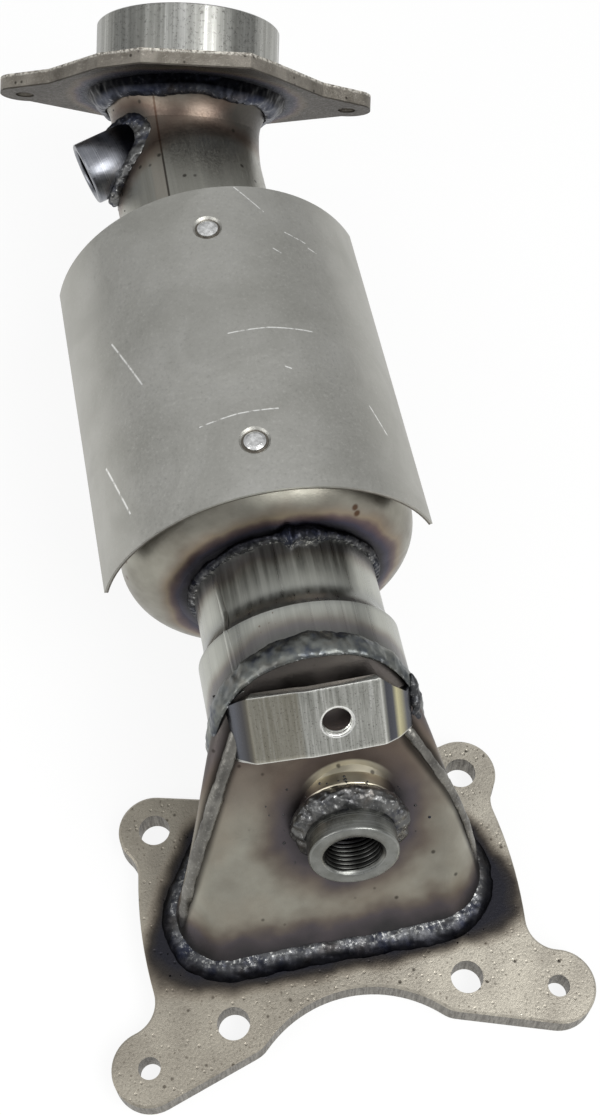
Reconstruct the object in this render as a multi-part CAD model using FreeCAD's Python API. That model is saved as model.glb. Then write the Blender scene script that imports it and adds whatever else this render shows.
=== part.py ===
import FreeCAD, Part
import math
import os
from FreeCAD import Vector

# Catalytic converter that bolts straight onto a cylinder head.
#
# Frame: the gasket face of the inlet flange is the plane Z = 0, with the origin
# midway between the two lower stud holes. +Z points out of the plate into the
# housing, +Y runs along the can from inlet to outlet, +X is to the right when
# the plate is nearest the viewer. Lengths are in mm.

X, Y, Z = Vector(1, 0, 0), Vector(0, 1, 0), Vector(0, 0, 1)

# ---- fits shared by several pieces ------------------------------------------
SLIP_FIT = 0.1             # radial clearance of a tube or boss in its bore
BLOCK_REACH = 200.0        # cutting blocks stand well past the housing on every side

# ---- inlet flange ------------------------------------------------------------
PLATE_T = 9.0              # plate thickness
STUD_HOLE_R = 5.0          # clearance holes for M10 studs
LOWER_STUD_SPAN = 72.8     # hole to hole, lower pair
UPPER_STUD_SPAN = 102.0    # hole to hole, upper pair
STUD_ROW_GAP = 66.0        # from the lower pair to the upper pair, along Y
EAR_HOLE_R = 3.36          # M8 tapping size
EAR_SPAN = 126.6           # hole to hole, ears
EAR_DROP = 8.1             # ear holes lie this far in front of the lower pair
UPPER_EAR_R = 11.6         # plate's round corner about an upper stud hole
LOWER_EAR_R = 11.4         # plate's round corner about an ear hole
WAIST_HALF = 57.6          # half width where the sides leave the ears
BULGE_HALF = 59.9          # half width at the middle of the bulged sides
TOP_DIP = 2.0              # top edge at X = 0, beyond the upper stud holes
TOP_DIP_HALF = 20.0        # half width of that hollow in the top edge
TOP_SLOPE = 14.0           # degrees, top edge down from each upper ear
BOTTOM_SLOPE = 18.0        # degrees, bottom edge up from each lower ear
ARCH_R = 40.0              # arch in the bottom edge
ARCH_TOP = 3.5             # top of the arch, above the lower pair
CORNER_BLEND = 10.0        # inside corners of the outline
ARCH_BLEND = 9.0           # outside corners beside the arch
EDGE_BREAK = 0.7           # broken edge of the blanked plate

# ---- inlet housing ------------------------------------------------------------
SHEET_T = 2.0              # wall of the pressed housing
BASE_FRONT_Y = 15.5        # front wall where it meets the plate
BASE_DEPTH = 46.5          # front wall to rear wall at the plate
BASE_FRONT_HALF = 63.5     # half width of the base, front line, before rounding
BASE_REAR_HALF = 34.9      # half width of the base, rear line, before rounding
BASE_FRONT_R = 18.0
BASE_REAR_R = 12.0
COLLAR_R = 31.0            # outside of the round outlet collar
COLLAR_Y = 66.0            # collar centre along Y
COLLAR_TILT = 20.0         # degrees, the collar's mitre
REAR_BULGE = (66.0, 24.0)  # Y, Z that the rear wall bends through
SEAM_DEPTH = 6.0           # the two half shells meet this far behind the front
# Two sections between base and collar: share of the way up, half width at the
# front and at the rear, corner radius at the front and at the rear.
LOWER_SECTION = (0.35, 45.6, 34.0, 7.5, 12.0)
UPPER_SECTION = (0.70, 34.8, 31.0, 7.5, 14.0)

# ---- can ----------------------------------------------------------------------
CAN_AXIS_Z = 64.6          # can axis above the gasket face
NECK_OFFSET = 2.2          # inlet neck and housing collar stand this far to +X
CAN_START, CAN_END = 115.8, 235.8
CAP_R = 47.0               # outside of the pressed end caps
CAP_T = 1.5
CAP_CORNER_R = 16.0
CAP_SKIRT = 12.0           # straight skirt that laps over the shell
CAP_CONE = 5.0             # how far the cap's face leans inwards to the collar
CAP_LEAN = 0.15            # share of the cone that the corner's start stands out by
SHELL_T = 1.5
SHELL_GAP = 1.0            # from the cap's corner to the shell's end
MAT_T = 3.5
BRICK_LENGTH = 84.0
MAT_SHORT = 2.0            # the mat stops this far short of each end of the brick

# ---- inlet neck ----------------------------------------------------------------
NECK_R = 28.5
NECK_T = 1.8
NECK_STEP_START, NECK_STEP_END = 91.0, 99.0
NECK_REACH = 4.0           # how far the neck stands into the can

# ---- outlet elbow ---------------------------------------------------------------
ELBOW_R = 27.5
ELBOW_T = 1.8
ELBOW_BEND_Y = 302.3       # where the can axis meets the outlet axis
ELBOW_BEND_R = 38.0
OUTLET_LIFT = 33.57        # degrees, outlet axis above the can axis
OUTLET_SWING = 13.54       # degrees, outlet axis towards +X, seen from above
FLARE_R = 34.0             # the elbow's end is flared to the spigot's size

# ---- outlet flange ---------------------------------------------------------------
OUT_FACE = 24.5            # underside, along the outlet axis from the bend point
OUT_T = 5.5
OUT_BODY_R = 43.0
OUT_FLAT = 46.5            # flat edge to the outlet axis
OUT_FLAT_HALF = 19.0
OUT_FLAT_X = 3.4           # middle of the flat edge
OUT_NECK_X, OUT_NECK_Y = 31.0, 37.0      # the flanks' steep corner beside the flat
OUT_FLANK_X, OUT_FLANK_Y = 50.0, 14.0    # and the point where they slacken towards the ears
OUT_EAR_SPAN = 121.0
OUT_EAR_R = 9.0
OUT_EAR_HOLE_R = 3.36
OUT_EAR_SHIFT = 2.9        # ear line beyond the outlet axis, away from the flat
OUT_TWIST = -2.0           # degrees, ear line turned in the flange's plane
SPIGOT_R = 34.0
SPIGOT_T = 2.5
SPIGOT_END = 50.1
SEAT_R = 34.4              # the spigot's shoulder, which sits in the flange
RELIEF_R = 33.6            # turned groove between shoulder and free end
RELIEF_W = 0.7
SHOULDER_PROUD = 0.3       # of the flange's far face
SPIGOT_BREAK = 0.4         # broken outer edge of the free end

# ---- heat shield -------------------------------------------------------------------
SHIELD_GAP = 5.6           # air between the can and the shield
SHIELD_T = 1.2
SHIELD_OFFSET = -0.8       # the shield's centre line lies this far to -X of the can's
SHIELD_LEFT, SHIELD_RIGHT = 75.0, 66.5   # degrees of wrap each side of the top
STUD_X = -2.0
SHIELD_STUDS_Y = (134.0, 218.7)
STUD_SHANK_R = 2.5
STUD_HEAD_R = 3.5
DIMPLE_R = 5.0
DIMPLE_DEPTH = 1.0

# ---- sensor bosses ------------------------------------------------------------------
SENSOR_BORE_R = 8.25       # M18 x 1.5, minor radius
FRONT_BOSS_R = 13.5
FRONT_BOSS_MOUTH = Vector(6.3, 29.2, 51.7)
FRONT_BOSS_DIR = Vector(-0.09, -0.964, 0.249)
FRONT_BOSS_LENGTH = 24.0
DRAWN_COLLAR_R = 15.6
DRAWN_COLLAR_BACK = 14.5   # mouth to the drawn collar's edge
REAR_BOSS_R = 11.2
REAR_BOSS_MOUTH = Vector(-36.9, 294.8, 75.0)
REAR_BOSS_DIR = Vector(-0.957, -0.259, -0.126)
REAR_BOSS_REACH = 36.0     # mouth to well inside the elbow's wall

# ---- strap bracket -------------------------------------------------------------------
STRAP_W = 21.5             # along the housing's front
STRAP_T = 3.0
STRAP_UP = 85.3            # strap centre, up the housing's front from the plate
STRAP_LIFT = 8.0           # top of the raised flat above the housing's front
STRAP_STEP = 2.0           # the left part lies this much lower than the flat
STRAP_LEFT, STRAP_RIGHT = -21.0, 20.0    # bends into the left and right legs
STRAP_HOLE_R = 4.25        # M10 tapping size
STRAP_HOLE_X = 7.0
STRAP_HOLE_UP = 84.6       # hole centre, up the housing's front from the plate

# ---- weld beads ----------------------------------------------------------------------
BASE_BEAD = 3.8            # leg of the bead round the housing's base
RING_BEAD_R = 4.0          # round section of the bead between housing and neck
RING_BEAD_SINK = 2.6       # its centre line lies this far inside the joint's edge
NECK_BEAD = 3.8            # foot of the beads where the tubes enter the can
NECK_BEAD_RISE = 2.2       # height of those beads up the tube
FLANGE_BEAD = 3.4          # foot of the bead under the outlet flange
GIRTH_BEAD = 2.4           # leg of the beads at the end caps' skirts
BOSS_BEAD = 2.8            # leg of the bead round each sensor boss


# ---- places worked out from the sizes above ------------------------------------------
CAN_AXIS = Vector(0, 0, CAN_AXIS_Z)
NECK_AXIS = Vector(NECK_OFFSET, 0, CAN_AXIS_Z)
LIFT, SWING = math.radians(OUTLET_LIFT), math.radians(OUTLET_SWING)
OUT_DIR = Vector(math.cos(LIFT) * math.sin(SWING), math.cos(LIFT) * math.cos(SWING), math.sin(LIFT))
BEND_POINT = Vector(0, ELBOW_BEND_Y, CAN_AXIS_Z)
BEND_ANGLE = math.acos(OUT_DIR.dot(Y))
BEND_SETBACK = ELBOW_BEND_R * math.tan(BEND_ANGLE / 2)

TILT = math.radians(COLLAR_TILT)
COLLAR_CENTRE = Vector(NECK_OFFSET, COLLAR_Y, CAN_AXIS_Z)
COLLAR_NORMAL = Vector(0, math.cos(TILT), -math.sin(TILT))
COLLAR_UP = Vector(0, math.sin(TILT), math.cos(TILT))
COLLAR_HALF_UP = COLLAR_R / math.cos(TILT)      # the mitre makes the round an ellipse

FRONT_FOOT = Vector(0, BASE_FRONT_Y, PLATE_T)
FRONT_TOP = COLLAR_CENTRE + COLLAR_UP * COLLAR_HALF_UP
REAR_FOOT = FRONT_FOOT + Y * BASE_DEPTH
REAR_TOP = COLLAR_CENTRE - COLLAR_UP * COLLAR_HALF_UP
SLOPE = Vector(0, FRONT_TOP.y - FRONT_FOOT.y, FRONT_TOP.z - FRONT_FOOT.z).normalize()
FRONT_NORMAL = X.cross(SLOPE)

SHELL_R = CAP_R - CAP_T - SLIP_FIT
SHIELD_R = CAP_R + SHIELD_GAP + SHIELD_T
SHIELD_AXIS = Vector(SHIELD_OFFSET, 0, CAN_AXIS_Z)
BRICK_R = SHELL_R - SHELL_T - MAT_T
CAN_MIDDLE = (CAN_START + CAN_END) / 2
CAP_RIM = CAP_CORNER_R + CAP_CONE * CAP_LEAN + CAP_SKIRT
CORNER_END = CAN_START + CAP_CORNER_R + CAP_CONE * CAP_LEAN


# ---- small builders -------------------------------------------------------------------
def on_outlet(distance):
    return BEND_POINT + OUT_DIR * distance


def rod(start, direction, radius, length):
    return Part.makeCylinder(radius, length, start, direction)


def tube(start, direction, outer_r, wall, length):
    return rod(start, direction, outer_r, length).cut(rod(start, direction, outer_r - wall, length))


def turned(profile, start, direction):
    """Solid of revolution from a closed (radius, distance) profile, placed on an axis."""
    corners = [Vector(r, 0, h) for r, h in profile]
    face = Part.Face(Part.makePolygon(corners + corners[:1]))
    solid = face.revolve(Vector(), Z, 360)
    solid.Placement = FreeCAD.Placement(start, FreeCAD.Rotation(Z, direction))
    return solid


def rounded_polygon(corners, radii):
    """Edges round a polygon: each straight side, then the arc at its far corner."""
    n = len(corners)
    arcs = []
    for i in range(n):
        here = corners[i]
        back = (corners[i - 1] - here).normalize()
        ahead = (corners[(i + 1) % n] - here).normalize()
        half = math.acos(max(-1.0, min(1.0, back.dot(ahead)))) / 2
        run = radii[i] / math.tan(half)
        middle = here + (back + ahead).normalize() * (radii[i] / math.sin(half) - radii[i])
        arcs.append((here + back * run, middle, here + ahead * run))
    edges = []
    for i in range(n):
        edges.append(Part.makeLine(arcs[i - 1][2], arcs[i][0]))
        edges.append(Part.Arc(*arcs[i]).toShape())
    return edges


def slab(start, along, normal, width, length, depth):
    """Box centred across X on a plane, running along it and down from it."""
    box = Part.makeBox(width, length, depth, Vector(-width / 2, 0, -depth))
    matrix = FreeCAD.Matrix(1, 0, 0, start.x, 0, along.y, normal.y, start.y,
                            0, along.z, normal.z, start.z, 0, 0, 0, 1)
    return box.transformGeometry(matrix)


# ---- inlet flange -----------------------------------------------------------------------
def base_outline(inset, height):
    """The housing's base as an outline at a height, stepped in (or out) from its outside."""
    return duct_section(FRONT_FOOT + Z * (height - PLATE_T), REAR_FOOT + Z * (height - PLATE_T),
                        0, BASE_FRONT_HALF, BASE_REAR_HALF, BASE_FRONT_R, BASE_REAR_R, inset)


def inlet_flange():
    ear = Vector(EAR_SPAN / 2, -EAR_DROP, 0)
    stud = Vector(UPPER_STUD_SPAN / 2, STUD_ROW_GAP, 0)
    down, up = math.radians(BOTTOM_SLOPE), math.radians(TOP_SLOPE)
    ear_touch = ear - Vector(math.sin(down), math.cos(down), 0) * LOWER_EAR_R
    stud_touch = stud + Vector(-math.sin(up), math.cos(up), 0) * UPPER_EAR_R
    foot = Vector(0, ear_touch.y + ear_touch.x * math.tan(down), 0)
    dip = Vector(0, STUD_ROW_GAP + TOP_DIP, 0)
    dip_edge = Vector(TOP_DIP_HALF, stud_touch.y - (stud_touch.x - TOP_DIP_HALF) * math.tan(up), 0)
    side_low = Vector(WAIST_HALF - 1.8, -2, 0)
    side_mid = Vector(BULGE_HALF, STUD_ROW_GAP / 2, 0)
    side_top = Vector(WAIST_HALF - 0.6, STUD_ROW_GAP - 7, 0)

    def flip(point):
        return Vector(-point.x, point.y, point.z)

    def half(side):
        return [Part.makeLine(side(foot), side(ear_touch)), Part.makeLine(side(ear_touch), side(ear)),
                Part.makeLine(side(ear), side(side_low)),
                Part.Arc(side(side_low), side(side_mid), side(side_top)).toShape(),
                Part.makeLine(side(side_top), side(stud)), Part.makeLine(side(stud), side(stud_touch)),
                Part.makeLine(side(stud_touch), side(dip_edge))]

    middle = Part.Arc(dip_edge, dip, flip(dip_edge)).toShape()
    edges = Part.__sortEdges__(half(Vector) + [middle] + half(flip))
    plate = Part.Face(Part.Wire(edges)).extrude(Z * PLATE_T)
    for side in (Vector, flip):
        plate = plate.fuse(rod(side(ear), Z, LOWER_EAR_R, PLATE_T))
        plate = plate.fuse(rod(side(stud), Z, UPPER_EAR_R, PLATE_T))
    arch_centre = Vector(0, ARCH_TOP - ARCH_R, 0)
    plate = plate.cut(rod(arch_centre, Z, ARCH_R, PLATE_T)).removeSplitter()

    inside, outside = [], []
    for edge in plate.Edges:
        ends = [v.Point for v in edge.Vertexes]
        if len(ends) != 2 or abs(ends[0].z - ends[1].z) < PLATE_T / 2:
            continue
        x, y = abs(ends[0].x), ends[0].y
        if abs((Vector(x, y, 0) - arch_centre).Length - ARCH_R) < 0.01:
            outside.append(edge)
        elif abs(x - WAIST_HALF) < 4:
            inside.append(edge)
    plate = plate.makeFillet(CORNER_BLEND, inside)
    outside = [e for e in plate.Edges if any(same_line(e, o) for o in outside)]
    plate = plate.makeFillet(ARCH_BLEND, outside)
    top_rim = [e for e in plate.Edges if all(abs(v.Point.z - PLATE_T) < 1e-6 for v in e.Vertexes)
               and abs(e.CenterOfMass.z - PLATE_T) < 1e-6]
    plate = plate.makeChamfer(EDGE_BREAK, top_rim)

    port = Part.Face(Part.Wire(base_outline(SHEET_T, 0))).extrude(Z * PLATE_T)
    plate = plate.cut(port)
    for span, y, radius in ((LOWER_STUD_SPAN, 0, STUD_HOLE_R), (UPPER_STUD_SPAN, STUD_ROW_GAP, STUD_HOLE_R),
                            (EAR_SPAN, -EAR_DROP, EAR_HOLE_R)):
        for side in (-1, 1):
            plate = plate.cut(rod(Vector(side * span / 2, y, 0), Z, radius, PLATE_T))
    return plate


def same_line(one, other):
    return (one.CenterOfMass - other.CenterOfMass).Length < 1e-3 and abs(one.Length - other.Length) < 1e-3


# ---- inlet housing ------------------------------------------------------------------------
def duct_section(front, rear, centre_x, front_half, rear_half, front_r, rear_r, inset):
    """Rounded four-sided outline standing between a front line and a rear line."""
    depth = (front - rear).Length
    across = (front - rear).normalize()
    lean = (front_half - rear_half) / depth
    side = inset * math.sqrt(1 + lean * lean)

    def at(x, s):
        return rear + across * s + X * (centre_x + x)

    half_front = rear_half + lean * (depth - inset) - side
    half_rear = rear_half + lean * inset - side
    corners = [at(half_front, depth - inset), at(half_rear, inset),
               at(-half_rear, inset), at(-half_front, depth - inset)]
    return rounded_polygon(corners, [front_r - inset, rear_r - inset, rear_r - inset, front_r - inset])


def collar_section(inset):
    """The mitred collar's ellipse, cut into eight arcs that match the duct's sides and corners."""
    narrow = COLLAR_R - inset
    tall = narrow / math.cos(TILT)

    def at(degrees):
        a = math.radians(degrees)
        return COLLAR_CENTRE + X * (narrow * math.sin(a)) + COLLAR_UP * (tall * math.cos(a))

    stops = [-28, 28, 75, 115, 155, 205, 245, 285, 332]
    ellipse = Part.Ellipse(COLLAR_CENTRE + COLLAR_UP * tall, COLLAR_CENTRE + X * narrow, COLLAR_CENTRE)
    arcs = []
    for start, end in zip(stops, stops[1:]):
        points = [at(start), at((start + end) / 2), at(end)]
        first, last = (ellipse.parameter(p) for p in (points[0], points[2]))
        arc = Part.ArcOfEllipse(ellipse, first, last)
        if arc.value((arc.FirstParameter + arc.LastParameter) / 2).distanceToPoint(points[1]) > 1:
            arc = Part.ArcOfEllipse(ellipse, last, first)
        arcs.append(arc.toShape())
    return arcs


def duct(inset):
    """Solid of the housing's passage, from the plate to the mitred collar."""
    wires = [Part.Wire(base_outline(inset, PLATE_T))]
    bulge = Vector(0, *REAR_BULGE)
    for u, front_half, rear_half, front_r, rear_r in (LOWER_SECTION, UPPER_SECTION):
        front = FRONT_FOOT + (FRONT_TOP - X * NECK_OFFSET - FRONT_FOOT) * u
        rear = REAR_FOOT * (1 - u) ** 2 + bulge * (2 * u * (1 - u)) + (REAR_TOP - X * NECK_OFFSET) * u ** 2
        wires.append(Part.Wire(duct_section(front, rear, NECK_OFFSET * u, front_half, rear_half,
                                            front_r, rear_r, inset)))
    wires.append(Part.Wire(collar_section(inset)))
    return Part.makeLoft(wires, True, False)


def housing_shells():
    """Front and rear half shells, butted along a plane that follows the sloping front."""
    walls = duct(0).cut(duct(SHEET_T))
    reach = BLOCK_REACH
    seam = FRONT_FOOT - FRONT_NORMAL * SEAM_DEPTH
    ahead = slab(seam - SLOPE * reach + FRONT_NORMAL * reach, SLOPE, FRONT_NORMAL, reach, 2 * reach, reach)
    front, rear = walls.common(ahead), walls.cut(ahead)

    back = -FRONT_BOSS_DIR
    edge = FRONT_BOSS_MOUTH + back * DRAWN_COLLAR_BACK
    drawn = turned([(0, 0), (DRAWN_COLLAR_R - 0.4, 0), (DRAWN_COLLAR_R, 0.6), (DRAWN_COLLAR_R, 4.5),
                    (DRAWN_COLLAR_R + 1.2, 8.0), (0, 8.0)], edge, back)
    drawn = drawn.cut(duct(SHEET_T))
    boss_hole = rod(FRONT_BOSS_MOUTH, back, FRONT_BOSS_R + SLIP_FIT, 2 * FRONT_BOSS_LENGTH)
    front = front.fuse(drawn).cut(boss_hole)
    return front, rear


def housing_base_bead():
    """Fillet bead round the housing's foot, on the plate."""
    levels = ((-BASE_BEAD, 0), (-0.8 * BASE_BEAD, 0.45), (0.2 * BASE_BEAD, 1.0))
    wires = [Part.Wire(base_outline(inset, PLATE_T + h * BASE_BEAD)) for inset, h in levels]
    return Part.makeLoft(wires, True, True).cut(duct(0))


# ---- sensor bosses -----------------------------------------------------------------------
def sensor_boss(mouth, direction, radius, length, chamfer=0.8):
    lead = 1.0
    return turned([(SENSOR_BORE_R + lead, 0), (radius - chamfer, 0), (radius, chamfer), (radius, length),
                   (SENSOR_BORE_R, length), (SENSOR_BORE_R, lead)], mouth, -direction)


def front_boss_bead():
    """Heavy bead that climbs from the drawn collar's edge on to the boss."""
    r, top = FRONT_BOSS_R, DRAWN_COLLAR_BACK
    return turned([(r, top - 7.5), (r + 1.6, top - 6.5), (r + 3.2, top - 4.4), (r + 4.0, top - 2.2),
                   (r + 3.6, top - 0.4), (DRAWN_COLLAR_R - 0.4, top), (r, top)],
                  FRONT_BOSS_MOUTH, -FRONT_BOSS_DIR).cut(duct(0))


# ---- can ----------------------------------------------------------------------------------
def end_cap(start, direction, hole_start, hole_r):
    """Pressed cap: leaning face, rounded corner, straight skirt, with a hole for its tube."""
    def outline(step):
        r, corner = CAP_R - step, CAP_CORNER_R - step
        face = Vector(r - corner, 0, CAP_CONE * CAP_LEAN + step)
        bend = Vector(r - corner * (1 - math.sin(math.pi / 4)), 0,
                      face.z + corner * (1 - math.cos(math.pi / 4)))
        wall = Vector(r, 0, face.z + corner)
        return Vector(0, 0, step - CAP_CONE), face, bend, wall

    centre, face, bend, wall = outline(0)
    in_centre, in_face, in_bend, in_wall = outline(CAP_T)
    outer_rim, inner_rim = Vector(CAP_R, 0, CAP_RIM), Vector(CAP_R - CAP_T, 0, CAP_RIM)
    edges = [Part.makeLine(centre, face), Part.Arc(face, bend, wall).toShape(),
             Part.makeLine(wall, outer_rim), Part.makeLine(outer_rim, inner_rim),
             Part.makeLine(inner_rim, in_wall),
             Part.Arc(in_wall, in_bend, in_face).toShape(), Part.makeLine(in_face, in_centre),
             Part.makeLine(in_centre, centre)]
    cap = Part.Face(Part.Wire(edges)).revolve(Vector(), Z, 360)
    cap.Placement = FreeCAD.Placement(start, FreeCAD.Rotation(Z, direction))
    return cap.cut(rod(hole_start - direction * CAP_RIM, direction, hole_r + SLIP_FIT, 2 * CAP_RIM))


def girth_bead(rim_y, direction):
    """Slim fillet bead from a cap's skirt down to the shell."""
    return turned([(SHELL_R, 0), (CAP_R - 0.2, 0), (CAP_R - 0.5, 0.5 * GIRTH_BEAD), (SHELL_R, GIRTH_BEAD)],
                  CAN_AXIS + Y * rim_y, direction)


# ---- inlet neck -----------------------------------------------------------------------------
def neck_solid(inset):
    """Drawn tube, wide at the housing, that necks down over a smooth hollow curve to enter the can."""
    low, end = COLLAR_Y - COLLAR_R - 10, CAN_START + NECK_REACH
    wide, narrow = COLLAR_R - inset, NECK_R - inset
    brow, foot = Vector(wide, 0, NECK_STEP_START), Vector(narrow, 0, NECK_STEP_END)
    step = NECK_STEP_END - NECK_STEP_START
    hollow = Vector(narrow + (wide - narrow) * 0.3, 0, NECK_STEP_START + step * 0.4)
    line = [Vector(0, 0, low), Vector(wide, 0, low), brow]
    edges = [Part.makeLine(a, b) for a, b in zip(line, line[1:])] + [Part.Arc(brow, hollow, foot).toShape()]
    line = [foot, Vector(narrow, 0, end), Vector(0, 0, end), Vector(0, 0, low)]
    edges += [Part.makeLine(a, b) for a, b in zip(line, line[1:])]
    solid = Part.Face(Part.Wire(edges)).revolve(Vector(), Z, 360)
    solid.Placement = FreeCAD.Placement(NECK_AXIS, FreeCAD.Rotation(Z, Y))
    return solid


def mitre_block():
    """Everything on the housing's side of the collar's mitre plane."""
    size = BLOCK_REACH
    return slab(COLLAR_CENTRE - COLLAR_UP * (size / 2), COLLAR_UP, COLLAR_NORMAL, size, size, size)


def neck_outside():
    return neck_solid(0).cut(mitre_block())


def inlet_neck():
    return neck_outside().cut(neck_solid(NECK_T))


def ring_bead():
    """Bead round the mitred joint of housing and neck."""
    tall, narrow = COLLAR_HALF_UP - RING_BEAD_SINK, COLLAR_R - RING_BEAD_SINK
    ellipse = Part.Ellipse(COLLAR_CENTRE + COLLAR_UP * tall, COLLAR_CENTRE + X * narrow, COLLAR_CENTRE)
    start = ellipse.value(ellipse.FirstParameter)
    tangent = ellipse.tangent(ellipse.FirstParameter)[0]
    section = Part.Wire([Part.makeCircle(RING_BEAD_R, start, tangent)])
    ring = Part.Wire([ellipse.toShape()]).makePipeShell([section], True, False)
    return ring.cut(neck_outside()).cut(duct(0))


def fillet_ring(centre, direction, radius, foot, rise):
    """Convex fillet bead round a tube where it meets a flat face; direction points off the face."""
    return turned([(radius, 0), (radius + foot, 0), (radius + 0.8 * foot, 0.45 * rise),
                   (radius + 0.45 * foot, 0.8 * rise), (radius, rise)], centre, direction)


# ---- outlet elbow -----------------------------------------------------------------------------
def flare_solid(grow):
    """The elbow's flared end: its side is an arc that leaves the tube smoothly and opens to the flange."""
    r, end_r, length = ELBOW_R + grow, FLARE_R + grow, OUT_FACE - BEND_SETBACK
    start, end = Vector(r, 0, 0), Vector(end_r, 0, length)
    middle = Vector(r + (end_r - r) * 0.28, 0, length * 0.55)
    edges = [Part.makeLine(Vector(), start), Part.Arc(start, middle, end).toShape(),
             Part.makeLine(end, Vector(0, 0, length)), Part.makeLine(Vector(0, 0, length), Vector())]
    flare = Part.Face(Part.Wire(edges)).revolve(Vector(), Z, 360)
    flare.Placement = FreeCAD.Placement(on_outlet(BEND_SETBACK), FreeCAD.Rotation(Z, OUT_DIR))
    return flare


def elbow_solid(grow):
    """Bent tube from inside the outlet cap to the flange, with its flared end."""
    r = ELBOW_R + grow
    start = Vector(0, CAN_END - 4, CAN_AXIS_Z)
    bend_start = BEND_POINT - Y * BEND_SETBACK
    straight = rod(start, Y, r, bend_start.y - start.y)
    inward = (OUT_DIR - Y * OUT_DIR.dot(Y)).normalize()
    axis = Y.cross(inward)
    disc = Part.Face(Part.Wire([Part.makeCircle(r, bend_start, Y)]))
    bend = disc.revolve(bend_start + inward * ELBOW_BEND_R, axis, math.degrees(BEND_ANGLE))
    return straight.fuse(bend).fuse(flare_solid(grow))


# ---- outlet flange -------------------------------------------------------------------------------
def outlet_axes():
    """Ear line and the direction away from the flat edge, both in the flange's plane."""
    ear_line = (X - OUT_DIR * X.dot(OUT_DIR)).normalize()
    away = OUT_DIR.cross(ear_line)
    turn = math.radians(OUT_TWIST)
    return (ear_line * math.cos(turn) + away * math.sin(turn),
            away * math.cos(turn) - ear_line * math.sin(turn))


def outlet_flange():
    """Two-eared plate: a round body with one flat edge, and straight flanks out to each ear."""
    base = on_outlet(OUT_FACE)
    ear_line, away = outlet_axes()

    def at(x, y):
        return base + ear_line * x + away * y

    ear_x, ear_y = OUT_EAR_SPAN / 2, OUT_EAR_SHIFT
    edges = []
    for side in (1, -1):
        shoulder = at(OUT_FLAT_X + side * OUT_FLAT_HALF, -OUT_FLAT)
        neck = at(side * OUT_NECK_X, -OUT_NECK_Y)
        flank = Vector(side * OUT_FLANK_X, -OUT_FLANK_Y, 0)
        tip = at(side * (ear_x + OUT_EAR_R * math.sin(math.radians(40))),
                 ear_y - OUT_EAR_R * math.cos(math.radians(40)))
        far = at(side * (ear_x - 1.0), ear_y + OUT_EAR_R)
        body = at(side * OUT_BODY_R * 0.70, OUT_BODY_R * 0.71)
        edges += [(shoulder, neck, at(flank.x, flank.y), tip, at(side * ear_x, ear_y), far, body)]
    corners = list(edges[0]) + list(reversed(edges[1]))
    thick = OUT_DIR * OUT_T
    plate = Part.Face(Part.makePolygon(corners + corners[:1])).extrude(thick)
    plate = plate.fuse(rod(base, OUT_DIR, OUT_BODY_R, OUT_T))
    for side in (1, -1):
        plate = plate.fuse(rod(at(side * ear_x, ear_y), OUT_DIR, OUT_EAR_R, OUT_T))
    plate = plate.removeSplitter().cut(rod(base, OUT_DIR, SEAT_R + SLIP_FIT, OUT_T))
    for side in (1, -1):
        plate = plate.cut(rod(at(side * ear_x, ear_y), OUT_DIR, OUT_EAR_HOLE_R, OUT_T))
    return plate


def flange_bead(elbow):
    """Heavy bead in the corner between the flared elbow and the flange's underside."""
    foot, leg = FLARE_R, FLANGE_BEAD
    bead = turned([(ELBOW_R, 0), (foot + leg, 0), (foot + 0.9 * leg, 0.6 * leg),
                   (foot + 0.2 * leg, 1.4 * leg), (foot - leg, 2.2 * leg),
                   (ELBOW_R, 2.2 * leg)], on_outlet(OUT_FACE), -OUT_DIR)
    return bead.cut(elbow)


def outlet_spigot():
    """Short turned tube, shouldered to sit in the flange, with a relief groove above the shoulder."""
    bore, end = SPIGOT_R - SPIGOT_T, SPIGOT_END - OUT_FACE
    step = OUT_T + SHOULDER_PROUD
    return turned([(bore, 0), (SEAT_R, 0), (SEAT_R, step), (RELIEF_R, step),
                   (RELIEF_R, step + RELIEF_W), (SPIGOT_R, step + RELIEF_W),
                   (SPIGOT_R, end - SPIGOT_BREAK), (SPIGOT_R - SPIGOT_BREAK, end),
                   (bore, end)], on_outlet(OUT_FACE), OUT_DIR)


# ---- heat shield -----------------------------------------------------------------------------------
def stud_axis(y):
    """Foot on the shield's axis line and outward direction of a shield stud."""
    angle = math.asin((STUD_X - SHIELD_OFFSET) / SHIELD_R)
    return SHIELD_AXIS + Y * y, Vector(math.sin(angle), 0, math.cos(angle))


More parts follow.
